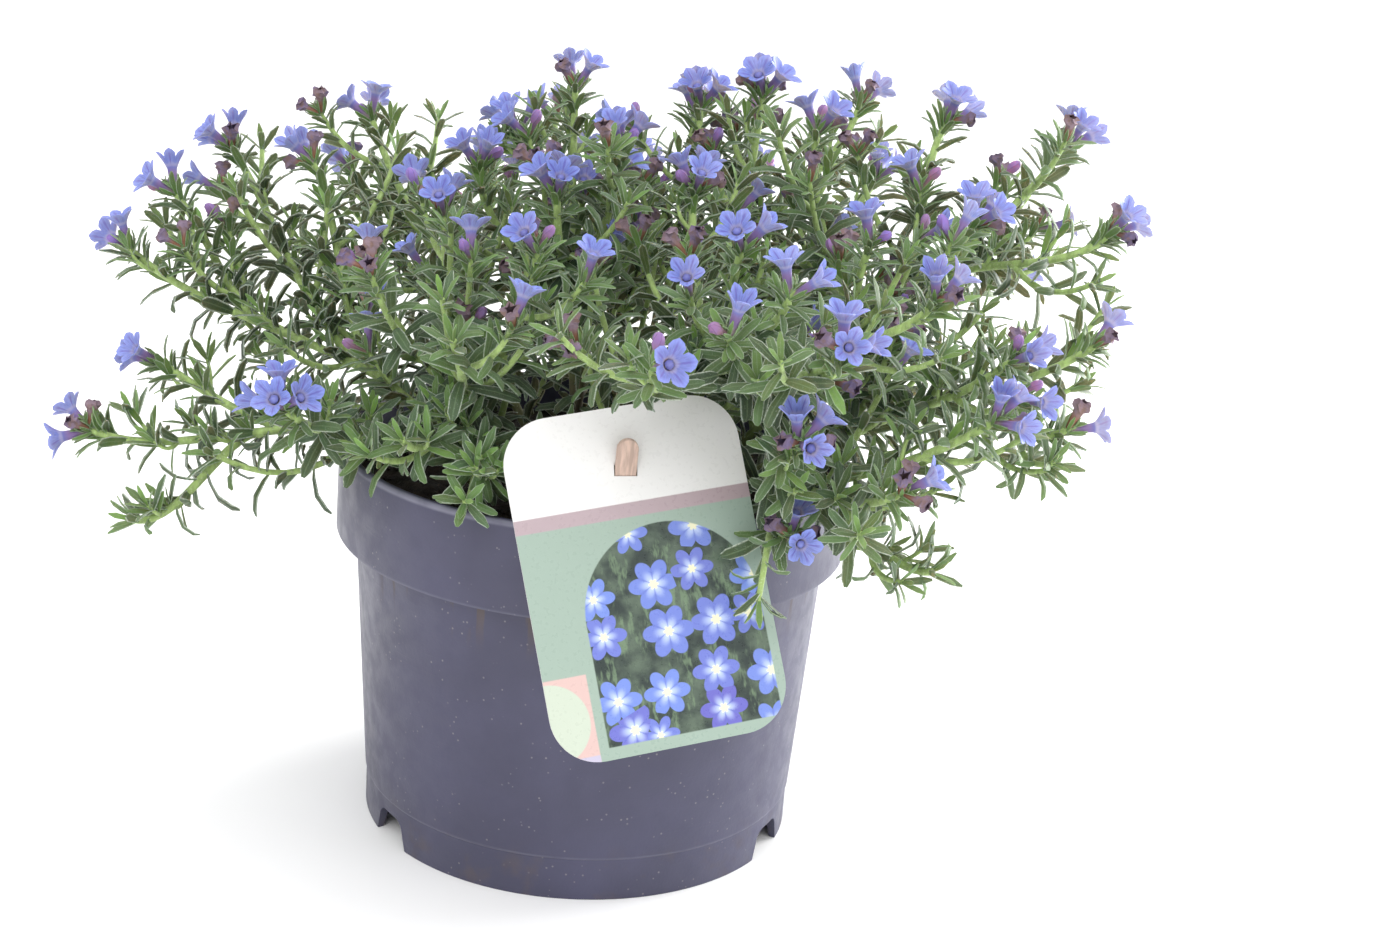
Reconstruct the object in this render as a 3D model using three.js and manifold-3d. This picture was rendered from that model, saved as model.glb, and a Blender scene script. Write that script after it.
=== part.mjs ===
// A lithodora in full bloom in a round nursery pot, with its plant label on a peg.
// Millimetres, +Z up, the origin on the pot's axis at the surface it stands on, the front towards -Y.
import * as THREE from "three";
import { mergeVertices } from "three/addons/utils/BufferGeometryUtils.js";
import Module from "manifold-3d";

const wasm = await Module();
wasm.setup();

// Pot
const RIM_RADIUS = 85;
const POT_HEIGHT = 131;
const LIP_RADIUS = 1.5;
const COLLAR_BOTTOM = 101;
const COLLAR_FLARE = 0.4;
const BODY_TOP_RADIUS = 78.9;
const BODY_FOOT_RADIUS = 73.7;
const FOOT_STEP_HEIGHT = 14.8;
const FOOT_INSET = 0.5;
const FOOT_RING_WIDTH = 2.2;
const FOOT_RING_DRAFT = 1.2;
const WALL = 1.6;
const FLOOR_HEIGHT = 10;
const FLOOR_THICKNESS = 2;
const POT_SIDES = 40;
const GAP = 0.3;

// Drainage notches in the foot ring, each with a hole in the floor behind it
const NOTCH_AZIMUTHS = [-54, 66, 186];
const NOTCH_FOOT_WIDTH = 20;
const NOTCH_SHOULDER_WIDTH = 14;
const NOTCH_SHOULDER_HEIGHT = 7.5;
const NOTCH_TOP_WIDTH = 10;
const NOTCH_REACH = 7;
const DRAIN_HOLE_RADIUS = 5;
const CUT_LENGTH = 12;
const CUT_PAST = 1;

// Soil
const SOIL_HEIGHT = 117;
const SOIL_LUMP = 1.1;
const SOIL_CLEARANCE = 2.5;
const SOIL_SIDES = 20;
const SOIL_RINGS = [62, 34];

// Label, which leans on the lip, and its peg
const LABEL_WIDTH = 72.5;
const LABEL_HEIGHT = 103;
const LABEL_CORNER = 14.5;
const LABEL_THICKNESS = 0.6;
const LABEL_AZIMUTH = 13.5;
const LABEL_LEAN = 26.3;
const LABEL_TURN = 9.4;
const LABEL_DROP = 12.6;
const PEG_WIDTH = 6.5;
const PEG_TIP_WIDTH = 2.4;
const PEG_THICKNESS = 1.8;
const PEG_LEAN = 8;
const PEG_HOLE_HEIGHT = 148;
const PEG_FREE_END = 10;
const PEG_BELOW_HOLE = 68;
const PEG_POINT = 14;

// Stems: a branch's leader, and the shoots that leave it
const BURIED_LENGTH = 14;
const HOLE_CLEARANCE = 0.65;
const HOLE_TOP = 6;
const LEADER_RADIUS = 1.5;
const SHOOT_RADIUS = 1.25;
const LEADER_SIDES = 4;
const SHOOT_SIDES = 3;
const STATION_SPACING = 30;
const ROD_SPACING = 8;
const LEAST_RISE = 1.2;
const USUAL_ARCH = 0.36;
const BEND_REACH = 0.3;
const FIRST_FORK = 0.38;
const LAST_FORK = 0.85;
const FORK_STEP = 0.04;
const WIDEST_FORK = 38;
const SHORTEST_SHOOT = 30;
const FOCUS_HEIGHT = 70;
const END_RISE_RATE = 1.3;
const END_RISE_DROP = 6;
const END_RISE_RANGE = [15, 86];
const GOLDEN_ANGLE = 137.5;

// Leaves
const LEAF_LENGTH = 22.4;
const LEAF_VARIATION = 0.27;
const LEAF_WIDTH = 4.8;
const LEAF_THICKNESS = 1;
const LEAF_ROOT = 0.5;
const LEAF_BEND = 0.48;
const LEAF_RISE = 44;
const LEAF_FALL = 83;
const LEAF_REACH = 1.6;
const LEAF_SPACING = 14;
const BARE_LEADER = 16;
const BARE_SHOOT = 12;
const TUFT_LEAVES = 4;
const TUFT_SPACING = 3.6;
const LEAF_TURNS = 7;
const LEAF_TURN_STEP = 52;

// Flower heads
const HEAD_REACH = 8;
const CORE_LENGTH = 4.5;
const CORE_RADIUS = 1.7;
const CORE_WAIST = 0.6;
const CORE_SIDES = 4;
const FIRST_ROOT = 1.2;
const ROOT_SPACING = 0.35;
const FLORET_LEAST_SIZE = 0.88;
const FLORET_SIZE_RANGE = 0.2;
const FLORET_SPREAD = 34;
const LONE_SPREAD = 14;
const SPREAD_STEP = 9;
const SPREAD_STEPS = 7;
const SPIN_STEP = 40;
const SPIN_STEPS = 9;

// Open flowers
const LOBES = 5;
const TUBE_LENGTH = 9;
const NECK_RADIUS = 1.5;
const THROAT_RISE = 0.9;
const NOTCH_RISE = 2.6;
const NOTCH_RADIUS = 3.3;
const LIMB_RISE = 4.4;
const LIMB_RADIUS = 6.6;
const LOBE_REACH = 1.3;

// Buds and wilted flowers
const BUD_LENGTH = 10;
const BUD_RADIUS = 1.9;
const BUD_BELLY = 0.63;
const BUD_SIDES = 4;
const WILTED_NECK = 7;
const WILTED_NECK_RADIUS = 1.4;
const WILTED_LENGTH = 10;
const WILTED_RADIUS = 3.3;
const WILTED_MOUTH = 8.2;
const WILTED_TWIST = 0.35;
const WILTED_LOBES = 3;

// Each branch has the spot where its leader leaves the soil, [x, y], and the places that its shoots
// reach, the leader's first: [x, y, z, open flowers, buds, wilted flowers] for the middle of a flower
// head, or [x, y, z] for a leafy tip. A leader that first rises over the rim has a higher arch, and
// one that stands close behind the label has its first fork above it.
const BRANCHES = [
  {
    name: "left_trailing",
    base: [-36, -14],
    arch: 0.5,
    tips: [
      [-164, -40, 137, 2, 0, 3],
      [-150, -8, 153, 2, 0, 0],
      [-94, -76, 162, 4, 0, 0],
      [-140, -58, 113],
      [-68, -66, 145],
    ],
  },
  {
    name: "left",
    base: [-34, 8],
    tips: [
      [-166, 20, 184, 2, 1, 0],
      [-156, 42, 200, 2, 1, 1],
      [-142, 72, 211, 3, 0, 1],
      [-109, 52, 213, 2, 0, 2],
      [-128, 24, 165],
    ],
  },
  {
    name: "left_inner",
    base: [-20, -22],
    tips: [
      [-74, -40, 200, 1, 1, 1],
      [-53, -16, 214, 2, 0, 1],
      [-19, -58, 214, 1, 1, 1],
      [-54, -77, 152],
      [-40, -78, 184],
      [-32, -80, 146],
    ],
  },
  {
    name: "left_back",
    base: [-22, 28],
    tips: [
      [-95, 92, 223, 3, 1, 0],
      [-106, 114, 198, 2, 0, 1],
      [-54, 122, 202, 3, 1, 0],
      [-118, 88, 172],
    ],
  },
  {
    name: "back",
    base: [3, 34],
    tips: [
      [2, 128, 203, 3, 0, 1],
      [48, 124, 207, 2, 1, 0],
      [-28, 100, 226, 2, 0, 1],
      [24, 100, 232, 3, 1, 0],
      [18, 126, 166],
    ],
  },
  {
    name: "centre",
    base: [-6, 6],
    tips: [
      [-18, 60, 245, 2, 0, 1],
      [-46, 22, 222, 3, 1, 0],
      [-38, 64, 228, 3, 0, 0],
      [2, 4, 235, 3, 2, 0],
      [-17, -14, 222, 3, 1, 0],
    ],
  },
  {
    name: "right_back",
    base: [22, 26],
    tips: [
      [47, 48, 249, 3, 0, 2],
      [26, 70, 240, 3, 1, 1],
      [84, 90, 242, 2, 0, 2],
      [94, 114, 210, 3, 1, 0],
      [126, 88, 184],
    ],
  },
  {
    name: "right",
    base: [36, 8],
    tips: [
      [154, 46, 239, 3, 0, 1],
      [66, 26, 242, 2, 1, 1],
      [113, 62, 242, 3, 0, 1],
      [167, 12, 217, 2, 0, 2],
      [142, 62, 202],
    ],
  },
  {
    name: "right_low",
    base: [38, -10],
    tips: [
      [162, -20, 186, 1, 0, 1],
      [153, -44, 164, 1, 0, 1],
      [118, -14, 222, 3, 0, 1],
      [130, -60, 190, 2, 1, 1],
      [84, -38, 219, 1, 1, 0],
    ],
  },
  {
    name: "front_right",
    base: [16, -26],
    firstFork: 0.6,
    tips: [
      [43, -58, 219, 2, 1, 0],
      [58, -100, 215, 2, 0, 0],
      [27, -20, 228, 3, 1, 1],
      [21, -129, 199, 1, 1, 0],
      [73, -120, 205, 3, 0, 1],
      [102, -80, 212, 2, 0, 1],
    ],
  },
  {
    name: "front_right_low",
    base: [30, -28],
    arch: 0.85,
    tips: [
      [108, -74, 122],
      [123, -88, 178, 3, 0, 1],
      [96, -108, 160, 1, 0, 3],
      [66, -90, 138, 2, 0, 2],
      [64, -114, 175, 3, 0, 2],
    ],
  },
];

const UP = vector(0, 0, 1);

// The same draw between 0 and 1 for the same two numbers
function draw(a, b) {
  const value = Math.sin(a * 127.1 + b * 311.7) * 43758.5453;
  return value - Math.floor(value);
}

function radians(degrees) {
  return THREE.MathUtils.degToRad(degrees);
}

function vector(x, y, z) {
  return new THREE.Vector3(x, y, z);
}

// A point or direction moved along a direction
function moved(from, direction, distance) {
  return from.clone().addScaledVector(direction, distance);
}

// The direction turned from one direction towards another that is square to it
function between(first, second, degrees) {
  const turn = radians(degrees);
  return vector(0, 0, 0).addScaledVector(first, Math.cos(turn)).addScaledVector(second, Math.sin(turn));
}

// The level direction at an azimuth from the front towards +X
function outward(azimuth) {
  return between(vector(0, -1, 0), vector(1, 0, 0), azimuth);
}

// Two directions square to an axis
function squareTo(axis) {
  const first = axis.clone().cross(Math.abs(axis.z) < 0.9 ? UP : vector(1, 0, 0)).normalize();
  return [first, axis.clone().cross(first)];
}

// A ring of points about an axis, counter-clockwise, turned by a share of their spacing
function ring(centre, axis, radius, count, share = 0) {
  const [first, second] = squareTo(axis);
  return Array.from({ length: count }, (_, i) => {
    return moved(centre, between(first, second, (360 * (i + share)) / count), radius);
  });
}

// A closed mesh from corner points and triangles
function facets(points, triangles) {
  const geometry = new THREE.BufferGeometry().setFromPoints(points);
  geometry.setIndex(triangles.flat());
  return geometry;
}

// A closed mesh from a start point through rings of equal counts to an end point
function spindle(start, rings, end) {
  const points = [start, ...rings.flat(), end];
  const count = rings[0].length;
  const last = points.length - 1;
  const triangles = [];
  for (let i = 0; i < count; i++) {
    const next = (i + 1) % count;
    triangles.push([0, 1 + next, 1 + i]);
    for (let low = 1; low + 2 * count <= last; low += count) {
      const high = low + count;
      triangles.push([low + i, low + next, high + i], [low + next, high + next, high + i]);
    }
    triangles.push([last, last - count + i, last - count + next]);
  }
  return facets(points, triangles);
}

// A closed geometry as a solid for joining and cutting
function solid(geometry) {
  const bare = geometry.clone();
  bare.deleteAttribute("normal");
  bare.deleteAttribute("uv");
  const merged = mergeVertices(bare, 1e-4);
  return new wasm.Manifold(
    new wasm.Mesh({
      numProp: 3,
      vertProperties: new Float32Array(merged.attributes.position.array),
      triVerts: new Uint32Array(merged.index.array),
    }),
  );
}

// A joined or cut solid back as a geometry
function surface(made) {
  const mesh = made.getMesh();
  const geometry = new THREE.BufferGeometry();
  geometry.setAttribute("position", new THREE.BufferAttribute(mesh.vertProperties, 3));
  geometry.setIndex(new THREE.BufferAttribute(mesh.triVerts, 1));
  geometry.computeVertexNormals();
  return geometry;
}

// Solids joined into one body; a hollow that the joining seals is filled
function joined(solids) {
  const bodies = wasm.Manifold.union(solids).decompose();
  return bodies.reduce((largest, body) => (body.volume() > largest.volume() ? body : largest));
}

// A closed outline of [radius, height] turned about the vertical axis
function turned(profile, sides) {
  const points = profile.map(([radius, height]) => new THREE.Vector2(radius, height));
  return new THREE.LatheGeometry(points, sides).rotateX(Math.PI / 2);
}

// A round section swept along a curve
function swept(curve, radius, sides) {
  const section = new THREE.Shape();
  for (let i = 0; i < sides; i++) {
    const angle = (2 * Math.PI * i) / sides;
    const corner = [radius * Math.cos(angle), radius * Math.sin(angle)];
    if (i === 0) section.moveTo(...corner);
    else section.lineTo(...corner);
  }
  section.closePath();
  const steps = Math.ceil(curve.getLength() / STATION_SPACING);
  return new THREE.ExtrudeGeometry(section, { steps, extrudePath: curve, bevelEnabled: false });
}

// The radius of the pot's body at a height
function bodyRadius(height) {
  const share = (height - FOOT_STEP_HEIGHT) / (COLLAR_BOTTOM - FOOT_STEP_HEIGHT);
  return THREE.MathUtils.lerp(BODY_FOOT_RADIUS, BODY_TOP_RADIUS, share);
}

// The lip's half-round, from the collar's outside over the top to its inside
function lipPoints() {
  return [0, 60, 120, 180].map((angle) => {
    const across = LIP_RADIUS * Math.cos(radians(angle));
    const rise = LIP_RADIUS * Math.sin(radians(angle));
    return [RIM_RADIUS - LIP_RADIUS + across, POT_HEIGHT - LIP_RADIUS + rise];
  });
}

function potSolid() {
  const footRadius = BODY_FOOT_RADIUS - FOOT_INSET;
  const footInside = footRadius - FOOT_RING_WIDTH;
  const floorTop = FLOOR_HEIGHT + FLOOR_THICKNESS;
  const ledge = COLLAR_BOTTOM + WALL;
  const profile = [
    [0, FLOOR_HEIGHT],
    [footInside - FOOT_RING_DRAFT, FLOOR_HEIGHT],
    [footInside, 0],
    [footRadius, 0],
    [footRadius, FOOT_STEP_HEIGHT - FOOT_INSET],
    [BODY_FOOT_RADIUS, FOOT_STEP_HEIGHT],
    [BODY_TOP_RADIUS, COLLAR_BOTTOM],
    [RIM_RADIUS + COLLAR_FLARE, COLLAR_BOTTOM],
    ...lipPoints(),
    [RIM_RADIUS + COLLAR_FLARE - WALL, ledge],
    [bodyRadius(ledge) - WALL, ledge],
    [bodyRadius(floorTop) - WALL, floorTop],
    [0, floorTop],
  ];
  const cuts = NOTCH_AZIMUTHS.flatMap((azimuth) => {
    const block = new THREE.ExtrudeGeometry(notchOutline(), { depth: CUT_LENGTH, bevelEnabled: false });
    block.rotateX(Math.PI / 2).translate(0, NOTCH_REACH - footRadius, 0).rotateZ(radians(azimuth));
    const drain = new THREE.CylinderGeometry(DRAIN_HOLE_RADIUS, DRAIN_HOLE_RADIUS, CUT_LENGTH, 8);
    drain.rotateX(Math.PI / 2).translate(0, NOTCH_REACH - footInside, FLOOR_HEIGHT);
    drain.rotateZ(radians(azimuth));
    return [solid(block), solid(drain)];
  });
  return solid(turned(profile, POT_SIDES)).subtract(wasm.Manifold.union(cuts));
}

function notchOutline() {
  const outline = new THREE.Shape();
  outline.moveTo(-NOTCH_FOOT_WIDTH / 2, -CUT_PAST);
  outline.lineTo(NOTCH_FOOT_WIDTH / 2, -CUT_PAST);
  outline.lineTo(NOTCH_SHOULDER_WIDTH / 2, NOTCH_SHOULDER_HEIGHT);
  outline.lineTo(NOTCH_TOP_WIDTH / 2, FLOOR_HEIGHT);
  outline.lineTo(-NOTCH_TOP_WIDTH / 2, FLOOR_HEIGHT);
  outline.lineTo(-NOTCH_SHOULDER_WIDTH / 2, NOTCH_SHOULDER_HEIGHT);
  outline.closePath();
  return outline;
}

// The height of the soil's lumpy surface
function soilHeight(x, y) {
  const ripple = 0.8 * Math.cos(0.095 * Math.hypot(x, y));
  const lump = Math.sin(x * 0.19) * Math.cos(y * 0.23 + x * 0.05);
  return SOIL_HEIGHT + SOIL_LUMP * (ripple + lump);
}

function soilSolid(holes) {
  const ledge = COLLAR_BOTTOM + WALL + GAP;
  const bottom = FLOOR_HEIGHT + FLOOR_THICKNESS + GAP;
  const edge = RIM_RADIUS - WALL - GAP;
  const geometry = turned(
    [
      [0, bottom],
      [bodyRadius(bottom) - WALL - GAP, bottom],
      [bodyRadius(ledge) - WALL - GAP, ledge],
      [edge, ledge],
      [edge - 2 * GAP, SOIL_HEIGHT],
      ...SOIL_RINGS.map((radius) => [radius, SOIL_HEIGHT]),
      [0, SOIL_HEIGHT],
    ],
    SOIL_SIDES,
  );
  const place = geometry.attributes.position;
  for (let i = 0; i < place.count; i++) {
    if (place.getZ(i) === SOIL_HEIGHT) place.setZ(i, soilHeight(place.getX(i), place.getY(i)));
  }
  return solid(geometry).subtract(wasm.Manifold.union(holes));
}

// The label's own frame: across, up and out of its face, and the middle of its face
function labelFrame() {
  const facing = outward(LABEL_AZIMUTH);
  const side = UP.clone().cross(facing);
  const slope = between(UP, facing.clone().negate(), LABEL_LEAN);
  const across = between(side, slope, LABEL_TURN);
  const up = between(slope, side.clone().negate(), LABEL_TURN);
  const out = across.clone().cross(up);
  const lip = facing.multiplyScalar(RIM_RADIUS - LIP_RADIUS).setZ(POT_HEIGHT - LIP_RADIUS);
  const touch = moved(lip, out, LIP_RADIUS + GAP + LABEL_THICKNESS);
  return { across, up, out, side, centre: moved(touch, slope, -LABEL_DROP) };
}

// The peg's frame: its origin is where the card's face passes it
function pegFrame() {
  const { side, up, centre } = labelFrame();
  const rise = UP.clone().applyAxisAngle(side, radians(PEG_LEAN));
  const hole = moved(centre, up, (PEG_HOLE_HEIGHT - centre.z) / up.z);
  return { side, rise, hole };
}

// A flat peg with a round top, or the slot that it passes through when grown by a clearance
function pegGeometry(clearance) {
  const half = PEG_WIDTH / 2 + clearance;
  const tipHalf = PEG_TIP_WIDTH / 2 + clearance;
  const top = PEG_FREE_END + clearance;
  const bottom = -PEG_BELOW_HOLE - clearance;
  const outline = new THREE.Shape();
  outline.moveTo(-tipHalf, bottom);
  outline.lineTo(tipHalf, bottom);
  outline.lineTo(half, bottom + PEG_POINT);
  outline.absarc(0, top - half, half, 0, Math.PI, false);
  outline.lineTo(-half, bottom + PEG_POINT);
  outline.closePath();
  const depth = PEG_THICKNESS + 2 * clearance;
  const { side, rise, hole } = pegFrame();
  const place = new THREE.Matrix4().makeBasis(side, rise, side.clone().cross(rise)).setPosition(hole);
  return new THREE.ExtrudeGeometry(outline, { depth, bevelEnabled: false, curveSegments: 3 })
    .translate(0, 0, -depth / 2)
    .applyMatrix4(place);
}

function labelSolid() {
  const x = LABEL_WIDTH / 2 - LABEL_CORNER;
  const y = LABEL_HEIGHT / 2 - LABEL_CORNER;
  const card = new THREE.Shape();
  card.absarc(x, y, LABEL_CORNER, 0, Math.PI / 2, false);
  card.absarc(-x, y, LABEL_CORNER, Math.PI / 2, Math.PI, false);
  card.absarc(-x, -y, LABEL_CORNER, Math.PI, 1.5 * Math.PI, false);
  card.absarc(x, -y, LABEL_CORNER, 1.5 * Math.PI, 2 * Math.PI, false);
  const { across, up, out, centre } = labelFrame();
  const geometry = new THREE.ExtrudeGeometry(card, {
    depth: LABEL_THICKNESS,
    bevelEnabled: false,
    curveSegments: 3,
  })
    .translate(0, 0, -LABEL_THICKNESS)
    .applyMatrix4(new THREE.Matrix4().makeBasis(across, up, out).setPosition(centre));
  return solid(geometry).subtract(solid(pegGeometry(GAP)));
}

// What pieces keep clear of: rods with round ends, each with the node and the shoot it belongs to
const rods = [];

function addRods(chain, node, shoot) {
  for (const { from, to, radius } of chain) rods.push({ from, to, radius, node, shoot });
}

// The shortest distance between two straight rods
function rodDistance(one, other) {
  const first = one.to.clone().sub(one.from);
  const second = other.to.clone().sub(other.from);
  const apart = one.from.clone().sub(other.from);
  const both = first.dot(second);
  const slack = first.lengthSq() * second.lengthSq() - both * both;
  const onOther = both * second.dot(apart) - second.lengthSq() * first.dot(apart);
  let s = slack > 1e-9 ? THREE.MathUtils.clamp(onOther / slack, 0, 1) : 0;
  const t = THREE.MathUtils.clamp((both * s + second.dot(apart)) / second.lengthSq(), 0, 1);
  s = THREE.MathUtils.clamp((both * t - first.dot(apart)) / first.lengthSq(), 0, 1);
  return moved(one.from, first, s).distanceTo(moved(other.from, second, t));
}

function touching(one, other, gap) {
  return rodDistance(one, other) < one.radius + other.radius + gap;
}

// Whether a ball of this radius is clear of the pot, the soil and the label
function clearOfPot(point, radius) {
  const reach = Math.hypot(point.x, point.y);
  const above = point.z - radius > POT_HEIGHT + GAP;
  const outside = reach - radius > RIM_RADIUS + COLLAR_FLARE + GAP;
  const overSoil = point.z - radius > SOIL_HEIGHT + SOIL_CLEARANCE;
  const inside = overSoil && reach + radius < RIM_RADIUS - 2 * LIP_RADIUS - GAP;
  const { across, up, out, centre } = labelFrame();
  const offset = point.clone().sub(centre);
  const pastSide = Math.abs(offset.dot(across)) > LABEL_WIDTH / 2 + radius + GAP;
  const pastEnd = Math.abs(offset.dot(up)) > LABEL_HEIGHT / 2 + radius + GAP;
  const offFace = Math.abs(offset.dot(out) + LABEL_THICKNESS / 2) > LABEL_THICKNESS / 2 + radius + GAP;
  return (above || outside || inside) && (pastSide || pastEnd || offFace);
}

// Whether a chain of rods is clear of the pot and of every rod that counts for it
function isClear(chain, counts) {
  return chain.every((link) => {
    const middle = link.from.clone().lerp(link.to, 0.5);
    if (![link.from, middle, link.to].every((point) => clearOfPot(point, link.radius))) return false;
    return rods.every((rod) => !counts(rod, link) || !touching(link, rod, GAP));
  });
}

// The direction in which a shoot ends: low ones level, high ones upright
function endDirection(tip) {
  const reach = Math.hypot(tip.x, tip.y);
  const elevation = THREE.MathUtils.radToDeg(Math.atan2(tip.z - FOCUS_HEIGHT, reach));
  const rise = THREE.MathUtils.clamp(END_RISE_RATE * elevation - END_RISE_DROP, ...END_RISE_RANGE);
  return between(vector(tip.x / reach, tip.y / reach, 0), UP, rise);
}

// Where a shoot ends: at its leafy tip, or just below the middle of its flower head
function shootEnd(place) {
  const middle = vector(...place.slice(0, 3));
  return place.length > 3 ? moved(middle, endDirection(middle), -HEAD_REACH) : middle;
}

// The leader leaves the soil along its branch's mean direction
function leaderCurve({ base, tips, arch = USUAL_ARCH }) {
  const ground = vector(...base, SOIL_HEIGHT);
  const start = vector(0, 0, 0);
  for (const place of tips) start.addScaledVector(vector(...place.slice(0, 3)), 1 / tips.length);
  start.sub(ground);
  start.z = Math.max(start.z, LEAST_RISE * Math.hypot(start.x, start.y));
  start.normalize();
  const tip = shootEnd(tips[0]);
  const length = ground.distanceTo(tip);
  return new THREE.CubicBezierCurve3(
    moved(ground, start, -BURIED_LENGTH),
    moved(ground, start, arch * length),
    moved(tip, endDirection(tip), -BEND_REACH * length),
    tip,
  );
}

// A side shoot leaves the leader as late as its angle allows
function shootCurve(leader, tip, firstFork = FIRST_FORK) {
  let best = { share: firstFork, angle: Math.PI };
  for (let share = LAST_FORK; share > firstFork; share -= FORK_STEP) {
    const way = tip.clone().sub(leader.getPointAt(share));
    const angle = way.angleTo(leader.getTangentAt(share));
    if (way.length() < SHORTEST_SHOOT) continue;
    if (angle < best.angle) best = { share, angle };
    if (angle < radians(WIDEST_FORK)) break;
  }
  const fork = leader.getPointAt(best.share);
  const length = fork.distanceTo(tip);
  const departure = tip.clone().sub(fork).normalize().add(leader.getTangentAt(best.share)).normalize();
  return new THREE.CubicBezierCurve3(
    fork,
    moved(fork, departure, BEND_REACH * length),
    moved(tip, endDirection(tip), -BEND_REACH * length),
    tip,
  );
}

// A narrow blade with a keel below, bent outwards: a root in the stem, a wide middle and a tip
function leaf(root, along, away, length) {
  const across = along.clone().cross(away);
  const rising = between(along, away, LEAF_RISE);
  const start = moved(root, rising, -LEAF_ROOT);
  const middle = moved(root, rising, LEAF_BEND * length);
  const tip = moved(middle, between(along, away, LEAF_FALL), (1 - LEAF_BEND) * length);
  const right = moved(middle, across, LEAF_WIDTH / 2);
  const left = moved(middle, across, -LEAF_WIDTH / 2);
  const keel = moved(middle, between(along, away, LEAF_RISE + 90), LEAF_THICKNESS);
  const chain = [
    { from: start.clone().lerp(middle, 0.25), to: middle, radius: LEAF_REACH },
    { from: middle, to: tip, radius: LEAF_REACH, outer: true },
  ];
  return { geometry: spindle(start, [[right, left, keel]], tip), chain };
}

// Leaves by turns up a shoot: wide apart along it and close together under its tip
function leavesOnShoot(curve, node, shoot, seed, bare) {
  const length = curve.getLength();
  const places = [];
  for (let at = bare; at < length - (TUFT_LEAVES + 1) * TUFT_SPACING; at += LEAF_SPACING) places.push(at);
  for (let i = TUFT_LEAVES; i > 0; i--) places.push(length - i * TUFT_SPACING);
  const leaves = [];
  places.forEach((at, index) => {
    const along = curve.getTangentAt(at / length);
    const size = LEAF_LENGTH * (1 - LEAF_VARIATION * draw(seed, index));
    for (let turn = 0; turn < LEAF_TURNS; turn++) {
      const spin = GOLDEN_ANGLE * index + 360 * draw(seed, -1) + LEAF_TURN_STEP * turn;
      const away = between(...squareTo(along), spin);
      const blade = leaf(curve.getPointAt(at / length), along, away, size);
      const counts = (rod, link) => rod.node !== node || (link.outer && rod.shoot !== shoot);
      if (!isClear(blade.chain, counts)) continue;
      leaves.push(solid(blade.geometry));
      addRods(blade.chain, node, `${shoot}_leaf_${index}`);
      break;
    }
  });
  return leaves;
}

// An open flower: a slim tube that widens into a funnel with five pointed lobes and an open throat
function bloom(root, axis, size) {
  const at = (distance) => moved(root, axis, distance);
  const neck = ring(at(TUBE_LENGTH), axis, NECK_RADIUS, LOBES);
  const notches = ring(at(TUBE_LENGTH + NOTCH_RISE), axis, NOTCH_RADIUS * size, LOBES);
  const tips = ring(at(TUBE_LENGTH + LIMB_RISE), axis, LIMB_RADIUS * size, LOBES, 0.5);
  const points = [root, ...neck, ...notches, ...tips, at(TUBE_LENGTH + THROAT_RISE)];
  const throat = points.length - 1;
  const triangles = [];
  for (let i = 0; i < LOBES; i++) {
    const next = (i + 1) % LOBES;
    const [neckHere, neckNext] = [1 + i, 1 + next];
    const [notchHere, notchNext] = [1 + LOBES + i, 1 + LOBES + next];
    const tip = 1 + 2 * LOBES + i;
    triangles.push(
      [0, neckNext, neckHere],
      [neckHere, neckNext, tip],
      [neckHere, tip, notchHere],
      [neckNext, notchNext, tip],
      [throat, notchHere, tip],
      [throat, tip, notchNext],
    );
  }
  const mouth = at(TUBE_LENGTH + NOTCH_RISE);
  const chain = [
    { from: at(1), to: at(TUBE_LENGTH), radius: NECK_RADIUS },
    { from: at(TUBE_LENGTH), to: mouth, radius: NOTCH_RADIUS },
    ...tips.map((tip) => ({ from: mouth, to: tip, radius: LOBE_REACH })),
  ];
  return { geometry: facets(points, triangles), chain };
}

// A bud: a closed club with a pointed end
function bud(root, axis, size) {
  const at = (share) => moved(root, axis, BUD_LENGTH * size * share);
  const radius = BUD_RADIUS * size;
  const belly = ring(at(BUD_BELLY), axis, radius, BUD_SIDES);
  const chain = [
    { from: moved(root, axis, 1), to: at(BUD_BELLY), radius: radius / 2 },
    { from: at(BUD_BELLY), to: at(1), radius },
  ];
  return { geometry: spindle(root, [belly], at(1)), chain };
}

// A wilted flower: a thin tube with drawn-in lobes about a shut mouth
function wilted(root, axis, size) {
  const at = (distance) => moved(root, axis, distance * size);
  const neck = ring(at(WILTED_NECK), axis, WILTED_NECK_RADIUS, WILTED_LOBES);
  const tips = ring(at(WILTED_LENGTH), axis, WILTED_RADIUS * size, WILTED_LOBES, WILTED_TWIST);
  const chain = [
    { from: at(1), to: at(WILTED_NECK), radius: WILTED_NECK_RADIUS },
    { from: at(WILTED_NECK), to: at(WILTED_LENGTH), radius: WILTED_RADIUS * size },
  ];
  return { geometry: spindle(root, [neck, tips], at(WILTED_MOUTH)), chain };
}

// The directions that a head's floret may take, the most wanted first
function floretDirections(axis, seed, index, alone) {
  const directions = [];
  for (let step = 0; step < SPREAD_STEPS; step++) {
    for (let turn = 0; turn < SPIN_STEPS; turn++) {
      const spin = GOLDEN_ANGLE * index + 360 * draw(seed, -2) + SPIN_STEP * turn;
      const spread = (alone ? LONE_SPREAD : FLORET_SPREAD) + SPREAD_STEP * step;
      directions.push(between(axis, between(...squareTo(axis), spin), spread));
    }
  }
  return directions;
}

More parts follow.
